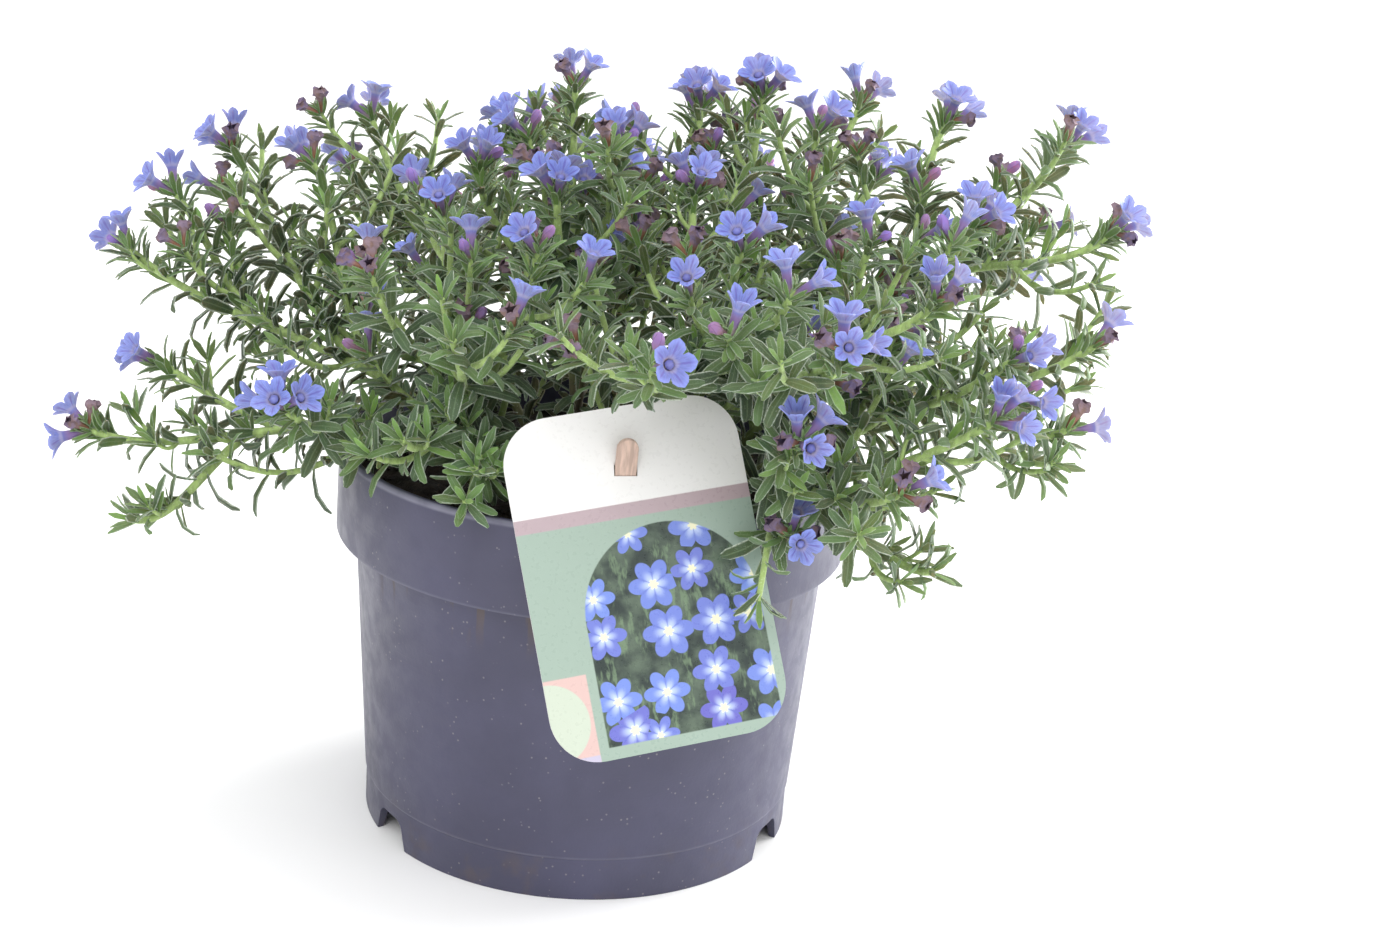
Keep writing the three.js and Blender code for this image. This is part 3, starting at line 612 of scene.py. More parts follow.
def leader_curve(branch):
    """The leader leaves the soil along its branch's mean direction."""
    tips = branch["tips"]
    ground = np.array([*branch["base"], SOIL_HEIGHT / MM])
    start = np.mean([place[:3] for place in tips], axis=0) - ground
    start[2] = max(start[2], LEAST_RISE * math.hypot(start[0], start[1]))
    start = unit(start)
    tip = shoot_end(tips[0])
    length = np.linalg.norm(tip - ground)
    arch = branch.get("arch", USUAL_ARCH)
    bend = tip - end_direction(tip) * BEND_REACH * length
    return Bezier([ground - start * BURIED_LENGTH, ground + start * arch * length, bend, tip])


def shoot_curve(leader, tip, first_fork):
    """A side shoot leaves the leader as late as its angle allows."""
    best = (first_fork, math.pi)
    share = LAST_FORK
    while share > first_fork:
        way = tip - leader.point(share * leader.length)
        cosine = np.dot(unit(way), leader.tangent(share * leader.length))
        angle = math.acos(min(max(cosine, -1), 1))
        if np.linalg.norm(way) >= SHORTEST_SHOOT:
            if angle < best[1]:
                best = (share, angle)
            if angle < math.radians(WIDEST_FORK):
                break
        share -= FORK_STEP
    fork = leader.point(best[0] * leader.length)
    length = np.linalg.norm(tip - fork)
    departure = unit(unit(tip - fork) + leader.tangent(best[0] * leader.length))
    bend = tip - end_direction(tip) * BEND_REACH * length
    return Bezier([fork, fork + departure * BEND_REACH * length, bend, tip])


class Rods:
    """What florets and leaves keep clear of: rods with round ends, each with its shoot's name."""

    def __init__(self):
        self.chain = []
        self.shoots = []
        self.table = None

    def add(self, chain, shoot):
        self.chain += chain
        self.shoots += [shoot] * len(chain)
        self.table = [np.array(column, float) for column in zip(*self.chain)]

    def only(self, prefix):
        """The rods of the shoots whose names start with the prefix."""
        chosen = Rods()
        kept = [k for k, name in enumerate(self.shoots) if name.startswith(prefix)]
        chosen.add([self.chain[k] for k in kept], prefix)
        return chosen

    def clear_of(self, chain, shoot, gap):
        """Whether the chain keeps its gap to every rod but those of its own shoot."""
        others = np.array([name != shoot for name in self.shoots])
        starts, ends, radii = (column[others] for column in self.table)
        for start, end, radius in chain:
            if (rod_distances(start, end, starts, ends) < radii + radius + gap).any():
                return False
        return True


def rod_distances(start, end, starts, ends):
    """The shortest distances from one straight rod to many."""
    first = end - start
    second = ends - starts
    apart = start - starts
    own = first @ first
    both = second @ first
    others = (second * second).sum(1)
    along = apart @ first
    across = (second * apart).sum(1)
    slack = own * others - both * both
    nearest = (both * across - others * along) / np.maximum(slack, SLACK_LEAST)
    s = np.where(slack > SLACK_LEAST, nearest.clip(0, 1), 0)
    t = ((both * s + across) / others).clip(0, 1)
    s = ((both * t - along) / own).clip(0, 1)
    return np.linalg.norm(start + s[:, None] * first - starts - t[:, None] * second, axis=1)


def clear_of_pot(point, radius):
    """Whether a ball of this radius, in millimetres, is clear of the pot, the soil and the label."""
    rim, gap, lip = RIM_RADIUS / MM, GAP / MM, LIP_RADIUS / MM
    reach = math.hypot(point[0], point[1])
    above = point[2] - radius > POT_HEIGHT / MM + gap
    outside = reach - radius > rim + COLLAR_FLARE / MM + gap
    inside = point[2] - radius > (SOIL_HEIGHT + SOIL_CLEARANCE) / MM and reach + radius < rim - 2 * lip - gap
    across, up, out, _, centre = label_frame()
    offset = point - centre / MM
    half = LABEL_THICKNESS / MM / 2
    past_side = abs(offset @ across) > LABEL_WIDTH / MM / 2 + radius + gap
    past_end = abs(offset @ up) > LABEL_HEIGHT / MM / 2 + radius + gap
    off_face = abs(offset @ out + half) > half + radius + gap
    return (above or outside or inside) and (past_side or past_end or off_face)


def chain_clear_of_pot(chain):
    return all(
        clear_of_pot(point, radius)
        for start, end, radius in chain
        for point in (start, (start + end) / 2, end)
    )


def bloom_chain(root, axis, size):
    """The rods that an open flower fills."""
    mouth = root + axis * (TUBE_LENGTH + NOTCH_RISE)
    first, second = square_to(axis)
    rods = [
        (root + axis, root + axis * TUBE_LENGTH, NECK_RADIUS),
        (root + axis * TUBE_LENGTH, mouth, NOTCH_RADIUS),
    ]
    for lobe in range(LOBES):
        side = between(first, second, 360 * (lobe + 0.5) / LOBES)
        tip = root + axis * (TUBE_LENGTH + LIMB_RISE) + side * LIMB_RADIUS * size
        rods.append((mouth, tip, LOBE_REACH))
    return rods


def bud_chain(root, axis, size):
    belly = root + axis * BUD_BELLY * BUD_LENGTH * size
    tip = root + axis * BUD_LENGTH * size
    return [(root + axis, belly, BUD_RADIUS * size / 2), (belly, tip, BUD_RADIUS * size)]


def wilted_chain(root, axis, size):
    neck = root + axis * WILTED_NECK * size
    tip = root + axis * WILTED_LENGTH * size
    return [(root + axis * size, neck, WILTED_NECK_RADIUS), (neck, tip, WILTED_RADIUS * size)]


def floret_directions(axis, seed, index, alone):
    """The directions that a head's floret may take, the most wanted first."""
    for step in range(SPREAD_STEPS):
        for turn in range(SPIN_STEPS):
            spin = GOLDEN_ANGLE * index + 360 * draw(seed, -2) + SPIN_STEP * turn
            spread = (LONE_SPREAD if alone else FLORET_SPREAD) + SPREAD_STEP * step
            yield between(axis, between(*square_to(axis), spin), spread)


def touching(one, other):
    distance = rod_distances(one[0], one[1], other[0][None], other[1][None])[0]
    return distance < one[2] + other[2]


def head_florets(curve, counts, node, shoot, seed, rods):
    """Each floret of a head as (kind, root, direction, size), clear of the stems and other heads."""
    axis = curve.tangent(curve.length)
    start = curve.point(curve.length) + axis * GAP / MM
    kinds = ["open"] * counts[0] + ["bud"] * counts[1] + ["wilted"] * counts[2]
    chains = {"open": bloom_chain, "bud": bud_chain, "wilted": wilted_chain}
    florets, placed = [], []
    for index, kind in enumerate(kinds):
        root = start + axis * (FIRST_ROOT + ROOT_SPACING * index)
        size = ranged(FLORET_SIZES, draw(seed, index))
        for direction in floret_directions(axis, seed, index, len(kinds) == 1):
            chain = chains[kind](root, direction, size)
            if any(touching(top, limb) for top in chain[1:] for limb in placed):
                continue
            if not chain_clear_of_pot(chain) or not rods.clear_of(chain, shoot, GAP / MM):
                continue
            florets.append((kind, root, direction, size))
            placed += chain
            break
    rods.add(placed + [(start, start + axis * CORE_LENGTH, CORE_RADIUS)], node)
    return florets


@functools.cache
def grown():
    """Every branch's curves, every head's florets, and the rods that leaves keep clear of, grown once."""
    rods = Rods()
    branches = []
    for branch in BRANCHES:
        leader = leader_curve(branch)
        first_fork = branch.get("first_fork", FIRST_FORK)
        curves = [leader] + [shoot_curve(leader, shoot_end(tip), first_fork) for tip in branch["tips"][1:]]
        branches.append({**branch, "curves": curves})
        for i, curve in enumerate(curves):
            steps = math.ceil(curve.length / ROD_SPACING)
            points = [curve.point(curve.length * k / steps) for k in range(steps + 1)]
            radius = SHOOT_RADIUS if i else LEADER_RADIUS
            chain = [(a, b, radius) for a, b in zip(points, points[1:]) if b[2] > SOIL_HEIGHT / MM]
            rods.add(chain, f"{branch['name']}_{i}")
    _, rise, hole = peg_frame()
    top = (hole + rise * PEG_FREE_END) / MM
    foot = (hole + rise * (SOIL_HEIGHT - PEG_HOLE_HEIGHT)) / MM
    rods.add([(top, foot, PEG_WIDTH / MM / 2 + GAP / MM)], "label_peg")
    heads = []
    for b, branch in enumerate(branches):
        for i, (curve, tip) in enumerate(zip(branch["curves"], branch["tips"])):
            if len(tip) > 3:
                node = f"flowers_{branch['name']}_{i + 1}"
                shoot = f"{branch['name']}_{i}"
                florets = head_florets(curve, tip[3:], node, shoot, 10 * b + i, rods)
                heads.append({"node": node, "branch": b, "seed": 10 * b + i, "florets": florets})
    return branches, heads, rods


# Modelling helpers

def deselect():
    bpy.ops.object.select_all(action="DESELECT")


def choose(*pieces):
    """Selects pieces alone, with the first one active."""
    deselect()
    for piece in pieces:
        piece.select_set(True)
    bpy.context.view_layer.objects.active = pieces[0]


def start(add, name, **settings):
    """A new piece from one of the simple forms."""
    deselect()
    add(**settings)
    piece = bpy.context.active_object
    piece.name = name
    return piece


def edit(piece):
    """Opens a piece for editing, with all of it selected."""
    choose(piece)
    bpy.ops.object.mode_set(mode="EDIT")
    bpy.ops.mesh.select_mode(type="VERT")
    bpy.ops.mesh.select_all(action="SELECT")


def leave_edit():
    bpy.ops.object.mode_set(mode="OBJECT")


def pick(piece, test):
    """Selects the vertices of the piece in edit mode whose place passes the test."""
    mesh = bmesh.from_edit_mesh(piece.data)
    for vertex in mesh.verts:
        vertex.select = bool(test(vertex.co))
    mesh.select_flush_mode()
    bmesh.update_edit_mesh(piece.data)


def round_edges(piece, test, radius, segments):
    """Rounds the edges of the piece in edit mode that are square to X and whose ends pass the test."""
    bpy.ops.mesh.select_mode(type="EDGE")
    mesh = bmesh.from_edit_mesh(piece.data)
    for edge in mesh.edges:
        a, b = (vertex.co for vertex in edge.verts)
        edge.select = test(a) and test(b) and abs(a.x - b.x) < HAIR_BREADTH
    bmesh.update_edit_mesh(piece.data)
    bpy.ops.mesh.bevel(offset=radius, segments=segments, affect="EDGES")


def resize(x, y, z, centre=(0, 0, 0)):
    bpy.ops.transform.resize(value=(x, y, z), center_override=tuple(centre))


def move(x, y, z):
    bpy.ops.transform.translate(value=(x, y, z))


def pitch(degrees, centre):
    """Turns what is selected about an axis along X, so that +Y goes up towards +Z."""
    bpy.ops.transform.rotate(value=-math.radians(degrees), orient_axis="X", center_override=tuple(centre))


def swing(degrees):
    """Turns what is selected about the piece's Z axis, from +X towards +Y."""
    bpy.ops.transform.rotate(value=-math.radians(degrees), orient_axis="Z", center_override=(0, 0, 0))


def ring(name, vertices, radius, height):
    """A new piece that starts as a round edge, open for editing."""
    circle = bpy.ops.mesh.primitive_circle_add
    piece = start(circle, name, vertices=vertices, radius=radius, location=(0, 0, height))
    bpy.ops.object.transform_apply()
    edit(piece)
    return piece


def raise_edge(rise):
    bpy.ops.mesh.extrude_region_move(TRANSFORM_OT_translate={"value": (0, 0, rise)})


def grow(profile):
    """Extrudes the selected round edge from the profile's first (radius, height) through the others."""
    for (radius, height), (wider, higher) in zip(profile, profile[1:]):
        raise_edge(higher - height)
        resize(wider / radius, wider / radius, 1, (0, 0, higher))


def close_pole(rise=0.0):
    """Closes the selected round edge with a point in its middle."""
    raise_edge(rise)
    bpy.ops.mesh.merge(type="CENTER")


def rounded_card(corner, segments, thickness):
    """Rounds the corners of the flat piece in edit mode and gives it a thickness below its face."""
    bpy.ops.mesh.bevel(offset=corner, segments=segments, affect="VERTICES")
    bpy.ops.mesh.select_all(action="SELECT")
    raise_edge(-thickness)
    close_edit()


def close_edit():
    """Merges doubles, turns all faces outwards and leaves edit mode."""
    bpy.ops.mesh.select_all(action="SELECT")
    bpy.ops.mesh.remove_doubles(threshold=HAIR_BREADTH)
    bpy.ops.mesh.normals_make_consistent(inside=False)
    leave_edit()


def modify(piece, kind, **settings):
    """Adds a modifier to a piece and applies it."""
    choose(piece)
    bpy.ops.object.modifier_add(type=kind)
    modifier = piece.modifiers[-1]
    for name, value in settings.items():
        setattr(modifier, name, value)
    bpy.ops.object.modifier_apply(modifier=modifier.name)


def ease_edges(piece, width, degrees):
    modify(piece, "BEVEL", width=width, segments=2, limit_method="ANGLE", angle_limit=math.radians(degrees))


def cut(piece, cutters):
    """Cuts shapes out of a piece and removes them."""
    for cutter in cutters:
        modify(piece, "BOOLEAN", object=cutter, operation="DIFFERENCE", solver="EXACT")
        remove(cutter)


def remove(piece):
    bpy.data.meshes.remove(piece.data)


def smooth(piece, degrees):
    """Shades a piece smooth, but for edges that turn by more than this."""
    choose(piece)
    bpy.ops.object.shade_smooth_by_angle(angle=math.radians(degrees))


def joined(pieces, name):
    """Joins pieces into the first."""
    choose(*pieces)
    bpy.ops.object.join()
    pieces[0].name = name
    return pieces[0]


def add_to_scene(piece):
    bpy.context.scene.collection.objects.link(piece)
    return piece


def finish_piece(piece, material, slot, *nodes):
    """Gives a piece its material and its body, and hides the nodes that it stands for. Its slot is not used.
    """
    if material is not None:
        piece.data.materials.clear()
        piece.data.materials.append(material)
    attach(piece, "root")
    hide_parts(*nodes)


def set_pattern(piece, values):
    """Stores (across, along, tint, kind) for each vertex, which materials read as a pattern."""
    name = "pattern"
    attribute = piece.data.attributes.get(name) or piece.data.attributes.new(name, "FLOAT_COLOR", "POINT")
    attribute.data.foreach_set("color", np.asarray(values, np.float32).ravel())


def set_plain_pattern(piece, mark=(0, 0, 0, 0)):
    set_pattern(piece, [mark] * len(piece.data.vertices))


def get_pattern(piece):
    values = np.zeros(len(piece.data.vertices) * 4, np.float32)
    piece.data.attributes["pattern"].data.foreach_get("color", values)
    return values.reshape(-1, 4)


def pick_pattern(piece, test):
    """Selects the vertices of the piece in edit mode whose pattern passes the test."""
    mesh = bmesh.from_edit_mesh(piece.data)
    layer = mesh.verts.layers.float_color["pattern"]
    for vertex in mesh.verts:
        vertex.select = bool(test(vertex[layer]))
    mesh.select_flush_mode()
    bmesh.update_edit_mesh(piece.data)


def placed_copy(template, place, tint=0.0, kind=0.0):
    """A copy of a template with its own mesh, at its place and with its own tint."""
    piece = template.copy()
    piece.data = template.data.copy()
    piece.data.transform(place)
    values = get_pattern(piece)
    values[:, 2] = tint
    values[:, 3] = kind
    set_pattern(piece, values)
    return add_to_scene(piece)


def frame_matrix(x, y, z, origin, scale=(1, 1, 1)):
    """The matrix that takes a template's axes to these directions and its origin to this point."""
    columns = [np.asarray(axis) * factor for axis, factor in zip((x, y, z), scale)]
    matrix = Matrix.Identity(4)
    for row in range(3):
        for column in range(3):
            matrix[row][column] = columns[column][row]
        matrix[row][3] = origin[row]
    return matrix


def turned(axis, angle):
    return Matrix.Rotation(angle, 4, axis)


# Materials: colours of marks and wear, and of pale edges that are partly painted highlight

DUST = (0.24, 0.225, 0.235)
# Pale bands on the pot's edges: partly wear, partly a painted edge highlight
WORN_EDGE_AND_HIGHLIGHT = (0.21, 0.21, 0.27)
DIRT = (0.10, 0.075, 0.06)
PEAT_FIBRE = (0.075, 0.046, 0.024)
GRIT = (0.26, 0.22, 0.17)
STEM_DOWN = (0.62, 0.68, 0.50)
BARK = (0.105, 0.078, 0.042)
HAIR_DARK = (0.55, 0.60, 0.42)
HAIR_LIGHT = (0.80, 0.82, 0.70)
LEAF_RIB = (0.15, 0.23, 0.11)
LEAF_FOOT = (0.18, 0.28, 0.08)
# Pale leaf margin: partly down, partly painted rim light on the hairs
LEAF_EDGE_AND_RIM_LIGHT = (0.5, 0.56, 0.46)
LEAF_DOWN = (0.3, 0.37, 0.28)
PETAL_LIGHTENING = (1.35, 1.3, 1.03)
PETAL_STREAK = (0.24, 0.33, 0.84)
PETAL_MIDLINE = (0.085, 0.065, 0.36)
PETAL_RIM = (0.25, 0.33, 0.85)
PETAL_THROAT = (0.42, 0.38, 0.52)
PETAL_TUBE = (0.24, 0.15, 0.34)
PETAL_FOOT = (0.34, 0.26, 0.26)
BUD_TUBE = (0.29, 0.165, 0.21)
BUD_BLUE = (0.19, 0.16, 0.62)
BUD_FOOT = (0.30, 0.20, 0.17)
WILTED_VIOLET = (0.17, 0.14, 0.27)
WILTED_ROSE = (0.28, 0.20, 0.23)
WILTED_BROWN = (0.23, 0.14, 0.095)
WILTED_EDGE = (0.09, 0.06, 0.085)
WILTED_TUBE = (0.33, 0.16, 0.10)
PEG_WET = (0.05, 0.035, 0.025)
PRINT_MAUVE = (0.42, 0.33, 0.355)
PRINT_LIME = (0.52, 0.58, 0.48)
PRINT_LILAC = (0.49, 0.46, 0.58)
PICTURE_DARK = (0.02, 0.033, 0.03)
PICTURE_GREEN = (0.10, 0.14, 0.10)
PICTURE_BLADE = (0.17, 0.25, 0.15)
BLOOM_BLUE = (0.17, 0.26, 0.66)
BLOOM_VIOLET = (0.13, 0.12, 0.47)
BLOOM_PALE = (0.50, 0.60, 0.84)
BLOOM_NOTCH = (0.12, 0.16, 0.5)
BLOOM_EYE = (0.80, 0.78, 0.55)
PAPER_DARK = (0.94, 0.94, 0.94)
PAPER_LIGHT = (0.96, 0.96, 0.96)

# The print: heights and widths are shares of the card's width, and its edges are this soft
PRINT_EDGE = 0.003
MAUVE_TOP = 1.02
MINT_TOP = 0.96
CORNER_WIDTH = 0.18
CORNER_TOP = 0.36
CORNER_DISC = (0.0, 0.18, 0.165)
LILAC_TOP = 0.03
PICTURE_LEFT = 0.22
PICTURE_RIGHT = 0.96
PICTURE_BOTTOM = 0.05
ARCH_DISC = (0.59, 0.55, 0.37)
BLOOM_RATE = 4.7
BLOOM_SCATTER = 0.6


class Finish:
    """A new material whose nodes are added in short calls."""

    def __init__(self, name, roughness, specular=0.5):
        self.material = bpy.data.materials.new(name)
        self.material.use_nodes = True
        self.tree = self.material.node_tree
        self.skin = self.tree.nodes["Principled BSDF"]
        self.skin.inputs["Roughness"].default_value = roughness
        self.skin.inputs["Specular IOR Level"].default_value = specular

    def put(self, socket, value):
        if isinstance(value, bpy.types.NodeSocket):
            self.tree.links.new(value, socket)
        elif socket.type == "RGBA":
            socket.default_value = (*value, 1)
        else:
            socket.default_value = value

    def node(self, kind, inputs, output=0, **settings):
        """One output of a new node, or the node itself where no output is asked for."""
        made = self.tree.nodes.new(f"ShaderNode{kind}")
        for name, value in settings.items():
            setattr(made, name, value)
        for name, value in inputs.items():
            self.put(made.inputs[name], value)
        return made if output is None else made.outputs[output]

    def place(self):
        return self.node("TexCoord", {}, "Object")

    def turned_place(self, scale, rotation=(0, 0, 0)):
        return self.node("Mapping", {"Vector": self.place(), "Rotation": rotation, "Scale": scale})

    def parts(self, vector):
        return tuple(self.node("SeparateXYZ", {0: vector}, None).outputs)

    def pattern(self):
        """The across, along, tint and kind values of a piece's pattern."""
        made = self.node("Attribute", {}, None, attribute_name="pattern")
        return *self.parts(made.outputs["Color"]), made.outputs["Alpha"]

    def math(self, operation, *values, clamp=False):
        return self.node("Math", dict(enumerate(values)), operation=operation, use_clamp=clamp)

    def product(self, first, *others):
        for other in others:
            first = self.math("MULTIPLY", first, other)
        return first

    def total(self, first, *others, clamp=False):
        for other in others:
            first = self.math("ADD", first, other, clamp=clamp)
        return first

    def reach(self, x, y):
        """How far the point (x, y) is from the origin."""
        return self.math("SQRT", self.total(self.product(x, x), self.product(y, y)))

    def noise(self, vector, scale, detail, roughness=0.55):
        inputs = {"Vector": vector, "Scale": scale, "Detail": detail, "Roughness": roughness}
        return self.node("TexNoise", inputs, "Fac")

    def cells(self, vector, scale):
        return self.node("TexVoronoi", {"Vector": vector, "Scale": scale}, "Distance")

    def steps(self, value, low, high, low_to=0.0, high_to=1.0):
        """The value moved smoothly from one range to another."""
        inputs = {0: value, 1: low, 2: high, 3: low_to, 4: high_to}
        return self.node("MapRange", inputs, interpolation_type="SMOOTHSTEP")

    def patches(self, vector, scale, detail, *ends):
        """Noise moved smoothly from one range to another."""
        return self.steps(self.noise(vector, scale, detail), *ends)

    def band(self, value, low, rise, fall, high):
        """What lies between two edges, the first soft from low to rise and the other from high to fall."""
        return self.product(self.steps(value, low, rise), self.steps(value, high, fall))

    def mix(self, factor, a, b):
        return self.node("Mix", {0: factor, 6: a, 7: b}, 2, data_type="RGBA")

    def coated(self, tone, *coats):
        """A tone under coats of others, each given as (how much of it shows, its tone)."""
        for share, coat in coats:
            tone = self.mix(share, tone, coat)
        return tone

    def bump(self, height, strength, distance, **normal):
        inputs = {"Height": height, "Strength": strength, "Distance": distance, **normal}
        return self.node("Bump", inputs, "Normal")

    def done(self, tone, **inputs):
        """The material, with its tone and other inputs put in."""
        for name, value in {"Base_Color": tone, **inputs}.items():
            self.put(self.skin.inputs[name.replace("_", " ")], value)
        return self.material


def scaled(colour, *factors):
    """A colour with all its channels, or each of them, times a factor."""
    return tuple(min(channel * factor, 1.0) for channel, factor in zip(colour, factors * (3 // len(factors))))


def pot_plastic(colour):
    """Satin plastic with dust, pale edges that are partly wear and partly painted highlight, and dirt that
    ran down from under the collar.
    """
    finish = Finish("pot_plastic", 0.42)
    place = finish.place()
    x, y, z = finish.parts(place)
    around = finish.reach(x, y)
    specks = finish.steps(finish.cells(place, 420), 0.18, 0.09)
    # The pale bands at the lip, the collar's hem and the foot step are partly wear and partly a painted edge
    # highlight.
    lip = finish.product(
        finish.steps(z, POT_HEIGHT - 2.4 * MM, POT_HEIGHT - 1.3 * MM),
        finish.steps(around, RIM_RADIUS - 1.4 * MM, RIM_RADIUS - 0.4 * MM),
    )
    hem = finish.product(
        finish.steps(z, COLLAR_BOTTOM + 1.2 * MM, COLLAR_BOTTOM + 0.2 * MM),
        finish.steps(around, RIM_RADIUS - 0.8 * MM, RIM_RADIUS + 0.2 * MM),
    )
    step = finish.band(z, *(FOOT_STEP_HEIGHT + rise * MM for rise in (-0.6, 0, 0.1, 0.8)))
    worn_and_highlit = finish.total(lip, finish.product(finish.total(hem, step), 0.35), clamp=True)
    below = finish.band(z, *(COLLAR_BOTTOM + rise * MM for rise in (-19, -0.5, -0.5, 0.2)))
    drips = finish.product(finish.patches(finish.turned_place((1, 1, 0.12)), 190, 3, 0.58, 0.66), below)
    crust = finish.product(finish.steps(z, 24 * MM, 4 * MM), finish.patches(place, 120, 5, 0.5, 0.75))
    dirt = finish.total(finish.product(drips, 0.75), finish.product(crust, 0.4), clamp=True)
    tone = finish.coated(
        scaled(colour, 0.9),
        (finish.patches(place, 26, 5, 0.35, 0.7), scaled(colour, 1.12)),
        (finish.product(specks, finish.patches(place, 90, 2, 0.5, 0.6), 0.6), DUST),
        (finish.product(worn_and_highlit, finish.patches(place, 60, 3, 0.3, 0.6, 0.35, 0.8)), WORN_EDGE_AND_HIGHLIGHT),
        (dirt, DIRT),
    )
    gloss = finish.total(finish.patches(place, 140, 4, 0.3, 0.7, 0.36, 0.5), finish.product(dirt, 0.3))
    scratches = finish.patches(finish.turned_place((1, 1, 14)), 45, 2, 0.62, 0.66)
    grain = finish.bump(finish.noise(place, 900, 2), 0.12, 0.4 * MM)
    skin = finish.bump(scratches, 0.12, 0.2 * MM, Normal=grain)
    return finish.done(tone, Roughness=gloss, Normal=skin)


def soil_finish(colour):
    """Moist peat: almost black, with brown fibres and pale grit."""
    finish = Finish("potting_soil", 0.9, 0.25)
    place = finish.place()
    coarse = finish.noise(place, 160, 6, 0.7)
    fibres = finish.turned_place((1, 0.2, 1), (0.3, 0.2, 0.9))
    grit = finish.steps(finish.cells(place, 330), 0.12, 0.06)
    tone = finish.coated(
        scaled(colour, 0.55),
        (finish.steps(coarse, 0.35, 0.7), scaled(colour, 3.2)),
        (finish.patches(fibres, 700, 3, 0.62, 0.72, 0.0, 0.6), PEAT_FIBRE),
        (finish.product(grit, finish.patches(place, 120, 1, 0.6, 0.66)), GRIT),
    )
    wet = finish.patches(place, 60, 3, 0.35, 0.65, 0.55, 0.95)
    height = finish.total(coarse, finish.product(finish.noise(place, 900, 4), 0.5))
    return finish.done(tone, Roughness=wet, Normal=finish.bump(height, 0.9, 1.5 * MM))


def stem_skin(colour):
    """Downy yellow-green bark that turns brown and woody near the soil."""
    finish = Finish("stem_skin", 0.62, 0.35)
    place = finish.place()
    x, y, z = finish.parts(place)
    outwards = finish.product(finish.reach(x, y), 0.7)
    height = finish.total(z, outwards, finish.product(finish.noise(place, 45, 2), 0.04))
    tone = finish.coated(
        scaled(colour, 0.72),
        (finish.patches(finish.turned_place((1, 1, 0.3)), 500, 3, 0.3, 0.7), scaled(colour, 1.2)),
        (finish.patches(place, 1600, 2, 0.55, 0.7, 0.0, 0.35), STEM_DOWN),
        (finish.steps(height, 0.21, 0.165), BARK),
    )
    skin = finish.bump(finish.noise(place, 1200, 3), 0.5, 0.3 * MM)
    return finish.done(tone, Normal=skin, Sheen_Weight=0.25, Sheen_Roughness=0.5)


def pale_down():
    """The fine pale hairs of the stems."""
    finish = Finish("pale_down", 0.6, 0.3)
    return finish.done(finish.mix(finish.noise(finish.place(), 300, 2), HAIR_DARK, HAIR_LIGHT))


def leaf_skin(old, young):
    """A leaf that is dark with a pale, downy, rolled edge, partly painted rim light on its hairs, and a fine
    midrib, or fresh green when young.
    """
    finish = Finish("leaf_skin", 0.55, 0.4)
    across, along, tint, age = finish.pattern()
    place = finish.place()
    # The pale edge band is partly the downy margin and partly painted rim light, as if its hairs were lit
    # from behind.
    edge = finish.product(
        finish.steps(across, 0.74, 0.94),
        finish.patches(place, 1500, 2, 0.3, 0.62, 0.35, 1.0),
        finish.steps(age, 0.0, 1.0, 0.8, 0.28),
    )
    tone = finish.coated(
        finish.mix(tint, scaled(old, 0.5), scaled(old, 1.55)),
        (age, finish.mix(tint, scaled(young, 0.75), scaled(young, 1.25))),
        (finish.patches(place, 300, 3, 0.35, 0.7, 0.0, 0.3), scaled(old, 1.9)),
        (finish.steps(across, 0.16, 0.02, 0.0, 0.42), LEAF_RIB),
        (finish.steps(along, 0.16, 0.0, 0.0, 0.6), LEAF_FOOT),
        (edge, LEAF_EDGE_AND_RIM_LIGHT),
        (finish.patches(place, 2400, 1, 0.6, 0.72, 0.0, 0.2), LEAF_DOWN),
    )
    skin = finish.bump(finish.noise(place, 1300, 3), 0.35, 0.3 * MM)
    return finish.done(tone, Normal=skin, Subsurface_Weight=0.06, Sheen_Weight=0.12)


def petal_skin(colour):
    """A corolla: periwinkle with darker midlines and pale lobe edges, a pale throat and a rosy tube."""
    finish = Finish("petal_skin", 0.5, 0.3)
    across, along, tint, _ = finish.pattern()
    stretched = {0: finish.product(across, 2.4), 1: finish.product(along, 1.6), 2: finish.product(tint, 40.0)}
    veins = finish.noise(finish.node("CombineXYZ", stretched), 3.2, 3, 0.7)
    midline = finish.product(finish.steps(across, 0.2, 0.0), finish.band(along, 0.62, 0.72, 0.86, 1.0), 0.8)
    tone = finish.coated(
        finish.mix(tint, scaled(colour, 0.8), scaled(colour, *PETAL_LIGHTENING)),
        (finish.steps(veins, 0.45, 0.62, 0.0, 0.5), scaled(colour, 0.6)),
        (finish.steps(veins, 0.46, 0.3, 0.0, 0.35), PETAL_STREAK),
        (midline, PETAL_MIDLINE),
        (finish.product(finish.steps(along, 0.86, 1.0), 0.3), PETAL_RIM),
        (finish.product(finish.band(along, 0.6, 0.66, 0.68, 0.76), 0.5), PETAL_THROAT),
        (finish.steps(along, 0.7, 0.46), PETAL_TUBE),
        (finish.steps(along, 0.35, 0.1), PETAL_FOOT),
    )
    return finish.done(tone, Subsurface_Weight=0.12, Sheen_Weight=0.1)


def bud_skin(colour):
    """A bud: rose-purple at its tube and violet at its folded end."""
    finish = Finish("bud_skin", 0.5, 0.3)
    across, along, tint, _ = finish.pattern()
    tone = finish.coated(
        BUD_TUBE,
        (finish.steps(along, 0.45, 0.9), colour),
        (finish.product(tint, 0.6), BUD_BLUE),
        (finish.steps(across, 0.25, 0.05, 0.0, 0.5), scaled(colour, 0.5)),
        (finish.steps(along, 0.4, 0.1), BUD_FOOT),
    )
    return finish.done(tone, Subsurface_Weight=0.08)


